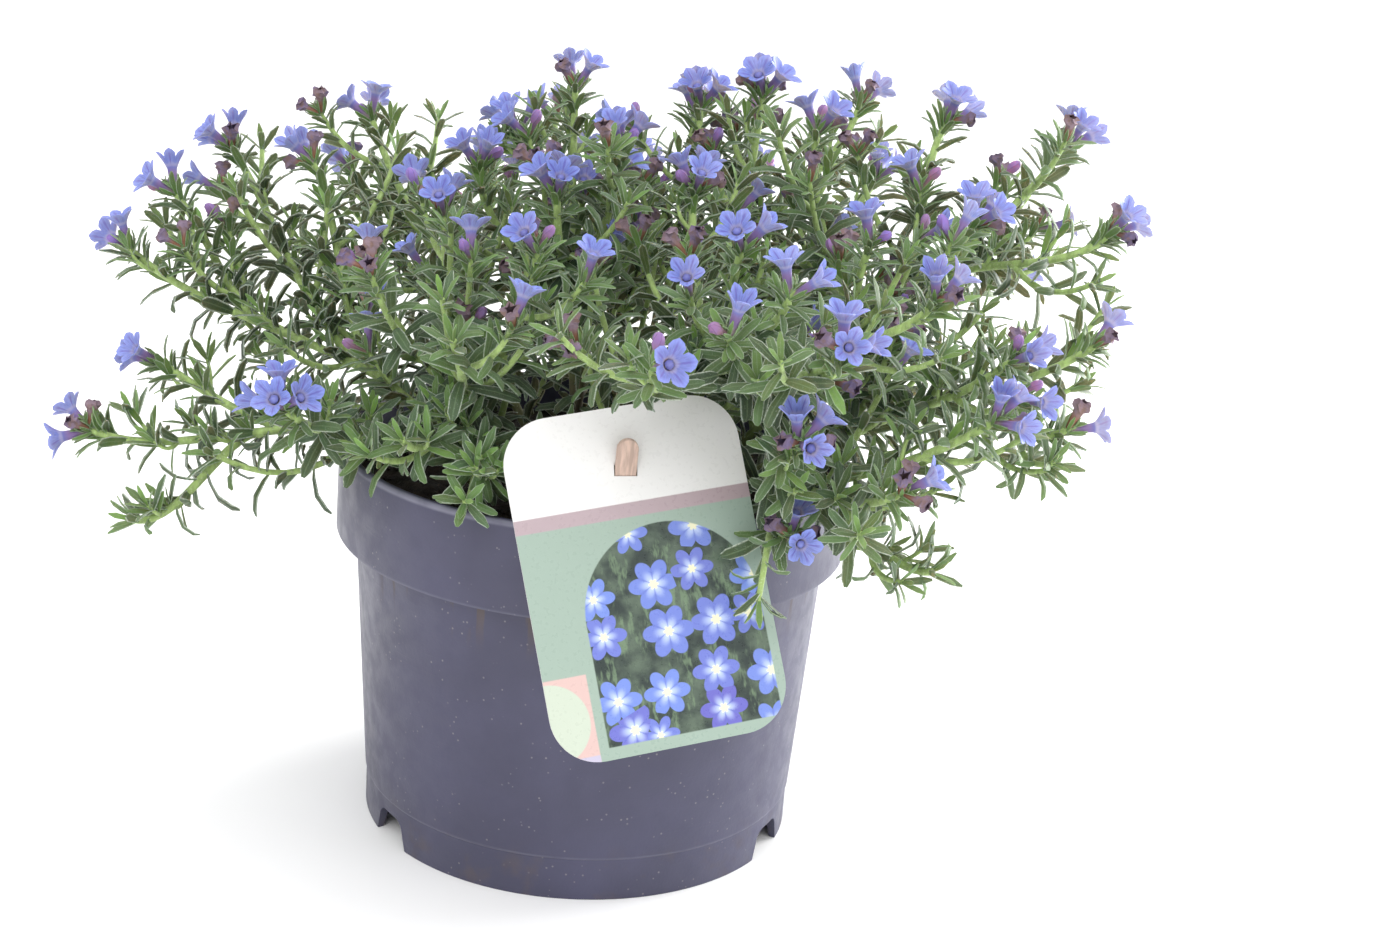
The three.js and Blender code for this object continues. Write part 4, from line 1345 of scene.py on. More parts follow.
def wilted_skin():
    """A spent corolla: grey-purple, brown where it has dried."""
    finish = Finish("wilted_skin", 0.75, 0.2)
    _, along, tint, _ = finish.pattern()
    place = finish.place()
    tone = finish.coated(
        WILTED_VIOLET,
        (tint, WILTED_ROSE),
        (finish.product(finish.patches(place, 420, 3, 0.42, 0.66), 0.7), WILTED_BROWN),
        (finish.steps(along, 0.8, 1.0, 0.0, 0.5), WILTED_EDGE),
        (finish.steps(along, 0.6, 0.3), WILTED_TUBE),
    )
    return finish.done(tone, Normal=finish.bump(finish.noise(place, 1100, 3), 0.7, 0.5 * MM))


def peg_finish(colour):
    """Smooth tan wood with fine grain along the peg, wet in the soil."""
    finish = Finish("peg", 0.55, 0.35)
    grain = finish.noise(finish.turned_place((1, 1, 0.06)), 900, 4)
    height = finish.parts(finish.place())[2]
    tone = finish.coated(
        scaled(colour, 0.8),
        (finish.steps(grain, 0.35, 0.7), scaled(colour, 1.15)),
        (finish.steps(height, SOIL_HEIGHT + 11 * MM, SOIL_HEIGHT - 1 * MM, 0.0, 0.75), PEG_WET),
    )
    return finish.done(tone, Normal=finish.bump(grain, 0.3, 0.3 * MM))


def printed_blooms(finish, square):
    """How far each place is from the nearest blossom for the blossom's size there, and its tone."""
    inputs = {"Vector": square, "Scale": BLOOM_RATE, "Randomness": BLOOM_SCATTER}
    spots = finish.node("TexVoronoi", inputs, None, voronoi_dimensions="2D")
    offset = finish.node("VectorMath", {0: square, 1: spots.outputs["Position"]}, operation="SUBTRACT")
    aside, above, _ = finish.parts(offset)
    heading = finish.product(finish.math("ARCTAN2", above, aside), 3.0)
    lobe = finish.math("ABSOLUTE", finish.math("COSINE", heading))
    large, violet, _ = finish.parts(spots.outputs["Color"])
    size = finish.total(finish.product(lobe, 0.04), finish.steps(large, 0.0, 1.0, 0.04, 0.07))
    away = finish.math("DIVIDE", finish.node("VectorMath", {0: offset}, 1, operation="LENGTH"), size)
    tone = finish.coated(
        BLOOM_PALE,
        (finish.steps(away, 0.12, 0.7), finish.mix(violet, BLOOM_BLUE, BLOOM_VIOLET)),
        (finish.product(finish.steps(lobe, 0.35, 0.1), 0.5), BLOOM_NOTCH),
        (finish.steps(away, 0.24, 0.18), BLOOM_EYE),
    )
    return away, tone


def printed_card(card, mint, coral):
    """Satin card with a printed picture of small pale-blue blossoms and plain fields of colour."""
    finish = Finish("printed_card", 0.3)
    across, up, _ = finish.parts(finish.node("UVMap", {}, uv_map="print"))
    tall = finish.product(up, LABEL_HEIGHT / LABEL_WIDTH)

    def over(value, edge):
        return finish.steps(value, edge - PRINT_EDGE, edge + PRINT_EDGE)

    def under(value, edge):
        return finish.steps(value, edge + PRINT_EDGE, edge - PRINT_EDGE)

    def disc(x, y, radius):
        aside, above = finish.math("SUBTRACT", across, x), finish.math("SUBTRACT", tall, y)
        return under(finish.reach(aside, above), radius)

    def corner(top):
        return finish.product(under(across, CORNER_WIDTH), under(tall, top))

    sides = finish.product(over(across, PICTURE_LEFT), under(across, PICTURE_RIGHT))
    sides = finish.product(sides, under(tall, ARCH_DISC[1]))
    picture = finish.product(finish.math("MAXIMUM", disc(*ARCH_DISC), sides), over(tall, PICTURE_BOTTOM))
    square = finish.node("CombineXYZ", {0: across, 1: tall})
    upright = finish.node("CombineXYZ", {0: across, 1: finish.product(tall, 0.3)})
    away, bloom = printed_blooms(finish, square)
    ground = finish.coated(
        PICTURE_DARK,
        (finish.patches(square, 9, 5, 0.35, 0.7), PICTURE_GREEN),
        (finish.steps(finish.noise(upright, 24, 3, 0.65), 0.52, 0.66, 0.0, 0.7), PICTURE_BLADE),
        (finish.steps(away, 1.03, 0.97), bloom),
    )
    tone = finish.coated(
        card,
        (under(tall, MAUVE_TOP), PRINT_MAUVE),
        (under(tall, MINT_TOP), mint),
        (corner(CORNER_TOP), coral),
        (disc(*CORNER_DISC), PRINT_LIME),
        (corner(LILAC_TOP), PRINT_LILAC),
        (picture, ground),
    )
    fibre = finish.noise(finish.place(), 700, 2)
    gloss = finish.steps(fibre, 0.3, 0.7, 0.26, 0.36)
    return finish.done(tone, Roughness=gloss, Normal=finish.bump(fibre, 0.05, 0.2 * MM))


def studio_floor():
    """Plain pale paper."""
    finish = Finish("studio_floor", 0.85, 0.1)
    return finish.done(finish.mix(finish.noise(finish.place(), 30, 2), PAPER_DARK, PAPER_LIGHT))


# Pieces

def body_radius(height):
    """The outer radius of the pot's wall at a height."""
    share = (height - FOOT_STEP_HEIGHT) / (COLLAR_BOTTOM - FOOT_STEP_HEIGHT)
    return BODY_FOOT_RADIUS + share * (BODY_TOP_RADIUS - BODY_FOOT_RADIUS)


def model_pot(settings):
    """The pot: one round shell with a lip, a collar and a foot ring, cut by three notches and drain holes."""
    foot = BODY_FOOT_RADIUS - FOOT_INSET
    foot_inside = foot - FOOT_RING_WIDTH
    floor_top = FLOOR_HEIGHT + FLOOR_THICKNESS
    ledge = COLLAR_BOTTOM + WALL
    lip_middle = RIM_RADIUS - LIP_RADIUS
    lip_height = POT_HEIGHT - LIP_RADIUS
    lip = [
        (lip_middle + LIP_RADIUS * math.cos(turn), lip_height + LIP_RADIUS * math.sin(turn))
        for turn in np.linspace(0, math.pi, LIP_POINTS)
    ]
    profile = [
        (foot_inside - FOOT_RING_DRAFT, FLOOR_HEIGHT),
        (foot_inside, 0),
        (foot, 0),
        (foot, FOOT_STEP_HEIGHT - FOOT_INSET),
        (BODY_FOOT_RADIUS, FOOT_STEP_HEIGHT),
        (BODY_TOP_RADIUS, COLLAR_BOTTOM),
        (RIM_RADIUS + COLLAR_FLARE, COLLAR_BOTTOM),
        *lip,
        (RIM_RADIUS + COLLAR_FLARE - WALL, ledge),
        (body_radius(ledge) - WALL, ledge),
        (body_radius(floor_top) - WALL, floor_top),
    ]
    pot = ring("nursery_pot", settings.sides, *profile[0])
    grow(profile)
    close_pole()

    def under_floor(place):
        level = abs(place.z - FLOOR_HEIGHT) < HAIR_BREADTH
        return level and place.xy.length > foot_inside - 2 * FOOT_RING_DRAFT

    pick(pot, under_floor)
    close_pole()
    close_edit()
    ease_edges(pot, settings.edge_rounding, 30)
    cutters = []
    for azimuth in NOTCH_AZIMUTHS:
        cutters += [notch_cutter(azimuth, foot), drain_cutter(azimuth, foot_inside)]
    cut(pot, cutters)
    smooth(pot, 30)
    return pot


def carry(cutter, azimuth, y, z):
    """Moves a cutter to its place on the front, and from there round the pot to its azimuth."""
    cutter.data.transform(turned("Z", math.radians(azimuth)) @ Matrix.Translation((0, y, z)))
    return cutter


def notch_cutter(azimuth, foot):
    """A block with a narrower, rounded top, across the foot ring."""
    block = start(bpy.ops.mesh.primitive_cube_add, "notch", size=1)
    edit(block)
    resize(*NOTCH_BLOCK)
    pick(block, lambda place: place.z > 0)
    resize(NOTCH_TOP_SHARE, 1, 1)
    round_edges(block, lambda place: place.z > 0, NOTCH_ROUNDING, 4)
    close_edit()
    return carry(block, azimuth, NOTCH_OVERLAP - foot, NOTCH_MIDDLE)


def drain_cutter(azimuth, foot_inside):
    """A round drill through the floor."""
    cylinder = bpy.ops.mesh.primitive_cylinder_add
    drill = start(cylinder, "drain", vertices=DRAIN_SIDES, radius=DRAIN_RADIUS, depth=DRAIN_DEPTH)
    edit(drill)
    close_edit()
    return carry(drill, azimuth, DRAIN_INSET - foot_inside, FLOOR_HEIGHT)


def soil_height(x, y):
    """The height of the soil's lumpy surface, in metres."""
    x, y = x / MM, y / MM
    across, up, skew = SOIL_LUMP_RATES
    ripple = SOIL_RIPPLE * math.cos(SOIL_RIPPLE_RATE * math.hypot(x, y))
    lump = math.sin(x * across) * math.cos(y * up + x * skew)
    return SOIL_HEIGHT + SOIL_LUMP * (ripple + lump)


def model_soil():
    """The soil: a filling of the pot whose top is lumpy and crumbly."""
    ledge = COLLAR_BOTTOM + WALL + GAP
    bottom = FLOOR_HEIGHT + FLOOR_THICKNESS + GAP
    edge = RIM_RADIUS - WALL - GAP
    profile = [
        (body_radius(bottom) - WALL - GAP, bottom),
        (body_radius(ledge) - WALL - GAP, ledge),
        (edge, ledge),
    ]
    for k in range(SOIL_RINGS + 1):
        profile.append((edge - 2 * GAP - (edge - SOIL_MIDDLE) * k / SOIL_RINGS, SOIL_HEIGHT))
    soil = ring("potting_soil", SOIL_SIDES, *profile[0])
    grow(profile)
    close_pole()
    pick(soil, lambda place: place.z < bottom + HAIR_BREADTH)
    close_pole()
    close_edit()
    for vertex in soil.data.vertices:
        x, y, z = vertex.co
        if z > SOIL_HEIGHT - HAIR_BREADTH:
            vertex.co.z = soil_height(x, y)
    top = soil.vertex_groups.new(name="top")
    for vertex in soil.data.vertices:
        if vertex.co.z > ledge + GAP and vertex.co.xy.length < edge - 3 * GAP:
            top.add([vertex.index], 1.0, "REPLACE")
    upwards = {"direction": "Z", "mid_level": SOIL_CLOUD_LEVEL, "texture_coords": "LOCAL"}
    for name, size, strength in SOIL_CLOUDS:
        clouds = bpy.data.textures.new(name, "CLOUDS")
        clouds.noise_scale = size
        clouds.noise_depth = 3
        modify(soil, "DISPLACE", texture=clouds, strength=strength, vertex_group="top", **upwards)
    smooth(soil, 60)
    return soil


def crumb_cell(x, y):
    return round(x / CRUMB_CELL), round(y / CRUMB_CELL)


def model_crumbs(count, soil):
    """Loose crumbs and bits of bark on the soil."""
    crumb = start(bpy.ops.mesh.primitive_ico_sphere_add, "crumb", subdivisions=1, radius=1)
    edit(crumb)
    bpy.ops.transform.vertex_random(offset=0.45, uniform=0.2, seed=3)
    close_edit()
    set_plain_pattern(crumb)
    heights = {}
    for vertex in soil.data.vertices:
        x, y, z = vertex.co
        if z > SOIL_HEIGHT - CRUMB_DEPTH:
            heights[crumb_cell(x, y)] = z
    crumbs = []
    for k in range(count):
        reach = (RIM_RADIUS - CRUMB_MARGIN) * math.sqrt(draw(k, 1))
        angle = 2 * math.pi * draw(k, 2)
        x, y = reach * math.cos(angle), reach * math.sin(angle)
        ground = heights.get(crumb_cell(x, y), soil_height(x, y))
        size = ranged(CRUMB_SIZE, draw(k, 3) ** 2) * MM
        long = size * (1 + CRUMB_STRETCH * draw(k, 4) ** 3)
        turn = turned("Z", 2 * math.pi * draw(k, 5)) @ turned("Y", CRUMB_TILT * draw(k, 6) - CRUMB_TILT / 2)
        scale = Matrix.Diagonal((long, size, size * CRUMB_FLATNESS, 1))
        place = Matrix.Translation((x, y, ground + size * CRUMB_LIFT))
        crumbs.append(placed_copy(crumb, place @ turn @ scale))
    remove(crumb)
    return joined(crumbs, "soil_crumbs")


def model_label():
    """The label: a thin card with round corners and the peg's slot, printed on its face."""
    card = start(bpy.ops.mesh.primitive_plane_add, "plant_label", size=1)
    edit(card)
    resize(LABEL_WIDTH, LABEL_HEIGHT, 1)
    rounded_card(LABEL_CORNER, 12, LABEL_THICKNESS)
    across, up, out, _, centre = label_frame()
    place = frame_matrix(across, up, out, centre)
    card.data.transform(place)
    cut(card, [peg_shape("slot", GAP)])
    back = place.inverted()
    uv = card.data.uv_layers.get("print") or card.data.uv_layers.new(name="print")
    for face in card.data.polygons:
        printed = face.normal @ Vector(out) > 0.9
        for loop in face.loop_indices:
            local = back @ card.data.vertices[card.data.loops[loop].vertex_index].co
            spot = (local.x / LABEL_WIDTH + 0.5, local.y / LABEL_HEIGHT + 0.5)
            uv.data[loop].uv = spot if printed else BARE_CARD
    for layer in [layer for layer in card.data.uv_layers if layer.name != "print"]:
        card.data.uv_layers.remove(layer)
    smooth(card, 30)
    return card


def peg_shape(name, clearance):
    """A flat stick with a round top and a tapered foot, or its slot when grown by a clearance."""
    length = PEG_FREE_END + PEG_BELOW_HOLE + 2 * clearance
    width = PEG_WIDTH + 2 * clearance
    peg = start(bpy.ops.mesh.primitive_cube_add, name, size=1)
    edit(peg)
    resize(width, length, PEG_THICKNESS + 2 * clearance)
    move(0, PEG_FREE_END + clearance - length / 2, 0)
    foot = -PEG_BELOW_HOLE - clearance
    bpy.ops.mesh.select_all(action="SELECT")
    bpy.ops.mesh.bisect(plane_co=(0, foot + PEG_POINT, 0), plane_no=(0, 1, 0))
    pick(peg, lambda place: place.y < foot + HAIR_BREADTH)
    resize(PEG_TIP_WIDTH / PEG_WIDTH, 1, 1, (0, foot, 0))
    round_edges(peg, lambda place: place.y > PEG_FREE_END - HAIR_BREADTH, width / 2 - PEG_FLAT_END, 8)
    close_edit()
    side, rise, hole = peg_frame()
    peg.data.transform(frame_matrix(side, rise, np.cross(side, rise), hole))
    return peg


def model_peg():
    """The peg, with its edges eased."""
    peg = peg_shape("label_stick", 0)
    ease_edges(peg, PEG_ROUNDING, 40)
    smooth(peg, 40)
    return peg


# Leaves and flowers: each form is modelled once and then copied

def midrib_point(leaf, along):
    mesh = bmesh.from_edit_mesh(leaf.data)
    layer = mesh.verts.layers.float_color["pattern"]
    return next(v.co.copy() for v in mesh.verts if v[layer][0] < 0.1 and abs(v[layer][1] - along) < 0.01)


def leaf_template(name, size, rows, columns, bends, thickness):
    """A leaf from the origin along +Y that arches down, with rolled edges and a sunken midrib."""
    length, width = size
    spans = len(rows) - 1
    leaf = start(bpy.ops.mesh.primitive_grid_add, name, x_subdivisions=columns, y_subdivisions=spans, size=1)
    marks = [(abs(v.co.x) * 2, rows[round((v.co.y + 0.5) * spans)][0], 0, 0) for v in leaf.data.vertices]
    set_pattern(leaf, marks)
    edit(leaf)
    move(0, 0.5, 0)
    resize(width, length, 1)
    pick_pattern(leaf, lambda mark: mark[0] < 0.1)
    move(0, 0, -MIDRIB_DEPTH * width)
    pick_pattern(leaf, lambda mark: mark[0] > 0.9)
    move(0, 0, -EDGE_DEPTH * width)
    for k, (along, wide) in enumerate(rows):
        pick_pattern(leaf, lambda mark: abs(mark[1] - along) < 0.01)
        resize(wide, 1, wide)
        move(0, (along - k / spans) * length, 0)
    for (along, _), bend in zip(rows[1:], bends):
        pivot = midrib_point(leaf, along)
        pick_pattern(leaf, lambda mark: mark[1] > along + 0.01)
        pitch(-bend, pivot)
    leave_edit()
    modify(leaf, "SOLIDIFY", thickness=thickness, offset=-1.0)
    smooth(leaf, 70)
    return leaf


def round_template(name, vertices, rings):
    """A round form of (radius, height, share) rings, in millimetres, with its pattern, open for editing."""
    profile = [(radius * MM, height * MM) for radius, height, _ in rings]
    piece = ring(name, vertices, *profile[0])
    grow(profile)
    leave_edit()
    marks = []
    for vertex in piece.data.vertices:
        share = next(s for _, height, s in rings if abs(vertex.co.z - height * MM) < HAIR_BREADTH)
        turn = (math.degrees(math.atan2(vertex.co.y, vertex.co.x)) - 90) % (360 / LOBES)
        aside = min(turn, 360 / LOBES - turn)
        marks.append((aside / (180 / LOBES), share, 1.0 if turn < 180 / LOBES else 0.0, 0))
    set_pattern(piece, marks)
    edit(piece)
    return piece


def twist(flower, heights, degrees):
    """Turns what is above each of the heights, which are in millimetres."""
    for height in heights:
        pick(flower, lambda place: place.z > height * MM)
        swing(degrees)


def fold_in(flower, along, fold):
    """Draws in the folds between the lobes past a share of the flower's length."""
    pick_pattern(flower, lambda mark: mark[0] > 0.9 and mark[1] > along)
    resize(fold, fold, 1)


def on_limb(edge, share):
    """The radius and height a share of the way from the tube's end to the lobes' outline."""
    root = TUBE_RINGS[-1]
    return root[0] + (edge[0] - root[0]) * share, root[1] + (edge[2] - root[1]) * share**LIMB_CURVE


def corolla_template(name, outline):
    """An open flower: a narrow tube that widens into five round lobes."""
    rings = list(TUBE_RINGS)
    tube = TUBE_RINGS[-1][2]
    for share in LIMB_SHARES:
        rings.append((*on_limb(outline[0], share), tube + (1 - tube) * share))
    corolla = round_template(name, LOBES * LOBE_SIDES, rings)
    last = LOBE_SIDES // 2
    for share, (radius, height, along) in zip(LIMB_SHARES, rings[len(TUBE_RINGS):]):
        for step, edge in enumerate(outline[1:], start=1):
            wider, higher = on_limb(edge, share)

            for side in (0, 1) if step < last else (None,):

                def on_step(mark):
                    there = abs(mark[1] - along) < 0.01 and abs(mark[0] - step / last) < 0.05
                    return there and (side is None or abs(mark[2] - side) < 0.1)

                pick_pattern(corolla, on_step)
                resize(wider / radius, wider / radius, 1)
                move(0, 0, (higher - height) * MM)
                if side is not None:
                    swing((edge[1] - LOBE_STEP * step) * share * (1 if side else -1))
    leave_edit()
    modify(corolla, "SOLIDIFY", thickness=PETAL_THICKNESS, offset=-1.0)
    anthers = start(bpy.ops.mesh.primitive_ico_sphere_add, "anthers", subdivisions=1, radius=ANTHER_RADIUS)
    edit(anthers)
    resize(1, 1, ANTHER_FLATNESS)
    move(0, 0, ANTHER_HEIGHT)
    leave_edit()
    set_plain_pattern(anthers, ANTHER_MARK)
    corolla = joined([corolla, anthers], name)
    smooth(corolla, 60)
    return corolla


def bud_template():
    """A closed bud: a slim tube and a pointed, twisted, five-folded end."""
    bud = round_template("bud", LOBES * 2, BUD_RINGS)
    pick(bud, lambda place: place.z > BUD_RINGS[-1][1] * MM - HAIR_BREADTH)
    close_pole(BUD_POINT)
    pick(bud, lambda place: place.z < BUD_RINGS[0][1] * MM + HAIR_BREADTH)
    close_pole()
    twist(bud, BUD_TWISTS, BUD_TWIST)
    fold_in(bud, *BUD_FOLD)
    close_edit()
    smooth(bud, 60)
    return bud


def wilted_template(name, seed):
    """A spent flower: its limb has shrivelled and folded in."""
    wilted = round_template(name, LOBES * 2, WILTED_RINGS)
    fold_in(wilted, *WILTED_FOLD)
    twist(wilted, WILTED_TWISTS, ranged(WILTED_TWIST, seed))
    pick(wilted, lambda place: place.z > WILTED_LIMB)
    bpy.ops.transform.vertex_random(offset=WILTED_CRUMPLE, uniform=0, seed=seed)
    leave_edit()
    modify(wilted, "SOLIDIFY", thickness=WILTED_THICKNESS, offset=-1.0)
    smooth(wilted, 50)
    return wilted


def calyx_template(sepal):
    """Five narrow sepals that hold a flower's foot."""
    sepals = []
    for k in range(LOBES):
        lean = turned("X", math.radians(SEPAL_LEAN[k % 2]))
        place = turned("Z", 2 * math.pi * k / LOBES) @ Matrix.Translation((0, SEPAL_SEAT, 0)) @ lean
        sepals.append(placed_copy(sepal, place))
    return joined(sepals, "calyx")


def down_template():
    """A sparse ring of fine hairs that stand off a stem 1 mm in radius along +Z."""
    hairs = []
    cone = bpy.ops.mesh.primitive_cone_add
    tilt = turned("Y", math.radians(HAIR_TILT))
    for k in range(DOWN_HAIRS):
        hair = start(cone, "hair", vertices=3, radius1=HAIR_RADIUS, radius2=0, depth=HAIR_LENGTH)
        edit(hair)
        move(0, 0, HAIR_LIFT)
        leave_edit()
        turn = turned("Z", math.radians(GOLDEN_ANGLE * k))
        height = DOWN_SPACING * (k / DOWN_HAIRS - 0.5)
        hair.data.transform(turn @ Matrix.Translation((HAIR_SEAT, 0, height)) @ tilt)
        hairs.append(hair)
    down = joined(hairs, "down")
    set_plain_pattern(down)
    return down


def downy_copies(template, curve, first, thick, thin):
    """The down along a curve whose radius goes from thick to thin, in millimetres."""
    copies = []
    for k in range(int((curve.length - first) * MM / DOWN_SPACING)):
        distance = first + (k + 0.5) * DOWN_SPACING / MM
        share = distance / curve.length
        radius = thick + (thin - thick) * share
        axis = curve.tangent(distance)
        place = frame_matrix(*square_to(axis), axis, curve.point(distance) * MM, (radius, radius, 1))
        copies.append(placed_copy(template, place))
    return copies


def leaf_templates(settings):
    """Three forms of full-grown leaf, a young leaf, a calyx and the stems' down."""
    length = settings.leaf_length
    size = (length, settings.leaf_width)
    templates = {
        name: leaf_template(name, size, LEAF_ROWS, LEAF_COLUMNS, bends, LEAF_THICKNESS)
        for name, bends in FULL_GROWN.items()
    }
    rows = (YOUNG_ROWS, YOUNG_COLUMNS)
    young = (YOUNG_SHARE * length, YOUNG_WIDTH)
    templates["young"] = leaf_template("young", young, *rows, YOUNG_BENDS, YOUNG_THICKNESS)
    sepal = leaf_template("sepal", SEPAL_SIZE, *rows, SEPAL_BENDS, SEPAL_THICKNESS)
    templates["calyx"] = calyx_template(sepal)
    remove(sepal)
    skin = leaf_skin(settings.leaf_colour, settings.young_colour)
    for template in templates.values():
        template.data.materials.append(skin)
    templates["down"] = down_template()
    templates["down"].data.materials.append(pale_down())
    return templates


def flower_templates(settings):
    """Three forms of open flower, a bud and two of spent flower."""
    petal, bud, spent = petal_skin(settings.petal_colour), bud_skin(settings.bud_colour), wilted_skin()
    templates = {name: corolla_template(name, outline) for name, outline in LOBE_OUTLINES.items()}
    for template in templates.values():
        template.data.materials.append(petal)
    templates["bud"] = bud_template()
    templates["bud"].data.materials.append(bud)
    for name, seed in WILTED_SEEDS:
        templates[name] = wilted_template(name, seed)
        templates[name].data.materials.append(spent)
    return templates


# Branches

def model_stems(branch, twigs):
    """A branch's leader, shoots and twigs as tapered tubes."""
    stems = bpy.data.curves.new(f"stems_{branch['name']}", "CURVE")
    stems.dimensions = "3D"
    stems.bevel_depth = MM
    stems.bevel_resolution = 2
    stems.use_fill_caps = True
    tubes = []
    for i, (curve, tip) in enumerate(zip(branch["curves"], branch["tips"])):
        tubes.append((curve.points, *(SHOOT_TAPER if i else LEADER_TAPER), 22))
        if len(tip) > 3:
            end, axis = curve.points[3], curve.tangent(curve.length)
            core = [end + axis * step for step in (*CORE_STEPS, CORE_LENGTH + GAP / MM)]
            tubes.append((core, *CORE_TAPER, 3))
    for points, long in twigs:
        tubes.append((points, *(LONG_TWIG_TAPER if long else SHORT_TWIG_TAPER), 8 if long else 5))
    for points, first, last, resolution in tubes:
        spline = stems.splines.new("BEZIER")
        spline.bezier_points.add(1)
        spline.resolution_u = resolution
        a, b, c, d = (Vector(point * MM) for point in points)
        for knot, place, back, ahead, radius in (
            (spline.bezier_points[0], a, a * 2 - b, b, first),
            (spline.bezier_points[1], d, c, d * 2 - c, last),
        ):
            knot.handle_left_type = knot.handle_right_type = "FREE"
            knot.co, knot.handle_left, knot.handle_right, knot.radius = place, back, ahead, radius
    choose(add_to_scene(bpy.data.objects.new(stems.name, stems)))
    bpy.ops.object.convert(target="MESH")
    piece = bpy.context.active_object
    smooth(piece, 60)
    set_plain_pattern(piece)
    return piece


def hides_label(chain):
    """Whether the rods, seen from the front, cover the label past its top and lower right edges."""
    across, up, out, _, centre = label_frame()
    for point in (place for start, end, _ in chain for place in (start, end)):
        offset = point * MM - centre
        before = offset @ out
        aside = (offset @ across + LABEL_DRIFT[0] * before) / LABEL_WIDTH
        above = (offset @ up + LABEL_DRIFT[1] * before) / LABEL_HEIGHT
        covered = 0 < before < LABEL_CLEARANCE and abs(aside) < 0.5 and abs(above) < LABEL_TOP_SHARE
        if covered and (aside < LABEL_SIDE_SHARE or above > LABEL_SIDE_TOP):
            return True
    return False


def leaf_chain(root, along, under, length):
    """The two rods that a leaf fills, in millimetres."""
    bend = root + along * length * LEAF_BEND_SHARE
    tip = root + along * length * LEAF_TIP_SHARES[0] + under * length * LEAF_TIP_SHARES[1]
    return [(root + along * LEAF_FOOT_LENGTH, bend, LEAF_RODS[0]), (bend, tip, LEAF_RODS[1])]


def free_turn(turns, root, axis, rise, length, blooms):
    """The first of the turns about a stem at which a leaf is clear of the pot, the label and the flowers."""
    first, second = square_to(axis)
    for turn in turns:
        side = between(first, second, turn)
        along = between(side, axis, rise)
        upper = between(axis, -side, rise)
        chain = leaf_chain(root, along, -upper, length)
        if chain_clear_of_pot(chain) and blooms.clear_of(chain, None, BLOOM_GAP) and not hides_label(chain):
            return along, upper
    return None


def clothe_curve(curve, first, last, spacing, seed, look):
    """Leaves in a spiral along a curve, each as (root, its stem's axis, turns to try, its look).

    A look is (template, size, width, rise, tint, age).
    """
    leaves = []
    distance, k = first, 0
    while distance < last:
        leaf = look(distance, draw(seed, 3 * k), draw(seed, 3 * k + 1), draw(seed, 3 * k + 2))
        start = GOLDEN_ANGLE * k + 360 * draw(seed, -7)
        turns = [start + step for step in LEAF_TURNS]
        leaves.append((curve.point(distance), curve.tangent(distance), turns, leaf))
        distance += spacing * ranged(STEP_RANGE, draw(seed, -11 - k))
        k += 1
    return leaves


def full_grown_look(curve, rule):
    """The look of full-grown leaves, which are smaller, steeper and fresher towards the stem's end."""
    (reach, power), sizes, shrinking, rises, lifting, (age, ageing, spread) = rule

    def look(distance, one, two, three):
        fresh = min(max(1 - (curve.length - distance) / reach, 0), 1) ** power
        size = ranged(sizes, one) * (1 - shrinking * fresh)
        rise = ranged(rises, two) + lifting * fresh
        form = tuple(FULL_GROWN)[int(three * len(FULL_GROWN))]
        return form, size, ranged(LEAF_WIDTHS, two), rise, one, age + ageing * fresh + spread * three

    return look


def young_look(_, one, two, three):
    """The look of the young leaves of a short twig."""
    rise, age = ranged(YOUNG_RISES, two), ranged(YOUNG_AGES, three)
    return "young", ranged(YOUNG_SIZES, one), ranged(LEAF_WIDTHS, two), rise, one, age


def collar_leaves(curve, seed):
    """The small leaves that stand round a flower head."""
    leaves = []
    for k in range(COLLAR_LEAVES):
        one, two = draw(seed, 70 + k), draw(seed, 80 + k)
        rise, age = ranged(COLLAR_RISES, two), ranged(COLLAR_AGES, two)
        leaf = ("leaf_open", ranged(COLLAR_SIZES, one), COLLAR_WIDTH, rise, one, age)
        start = GOLDEN_ANGLE * k + 360 * draw(seed, 51)
        turns = [start + COLLAR_TURN * step * (-1) ** step for step in range(8)]
        distance = curve.length - COLLAR_DROP * k
        leaves.append((curve.point(distance), curve.tangent(distance), turns, leaf))
    return leaves


def tuft_leaves(curve, seed, size):
    """The rosette of young leaves at the end of a twig or a leafy shoot."""
    end, axis = curve.point(curve.length), curve.tangent(curve.length)
    leaves = []
    for k in range(TUFT_LEAVES):
        tint = draw(seed, 40 + k)
        leaf = ("young", size * ranged(TUFT_SIZES, k), 1.0, ranged(TUFT_RISES, k), tint, ranged(TUFT_AGES, k))
        turn = GOLDEN_ANGLE * k + 360 * draw(seed, 50)
        leaves.append((end - axis * TUFT_DROP * k, axis, [turn + step for step in TUFT_TURNS], leaf))
    return leaves


def shoot_leaves(settings, branch, i, seed):
    """The leaves along one shoot, from the bare foot to the collar of its flower head or its tuft."""
    curve = branch["curves"][i]
    bare = BARE_SHOOT if i else BURIED_LENGTH + BARE_LEADER
    look = full_grown_look(curve, SHOOT_LOOK)
    leaves = clothe_curve(curve, bare, curve.length - 1, settings.leaf_spacing / MM, seed, look)
    if len(branch["tips"][i]) > 3:
        return leaves + collar_leaves(curve, seed)
    return leaves + tuft_leaves(curve, seed, LEAFY_TIP_SIZE)


def twig_leaves(settings, twig, long, seed, blooming):
    """The leaves of a twig and the tuft at its end, or the collar of its bloom."""
    look = full_grown_look(twig, TWIG_LOOK) if long else young_look
    spacing = settings.leaf_spacing / MM if long else YOUNG_SPACING
    last = twig.length - TWIG_LAST_LEAF[long]
    leaves = clothe_curve(twig, TWIG_FIRST_LEAF[long], last, spacing, seed, look)
    if blooming:
        return leaves + collar_leaves(twig, seed)
    return leaves + tuft_leaves(twig, seed, 1.0)


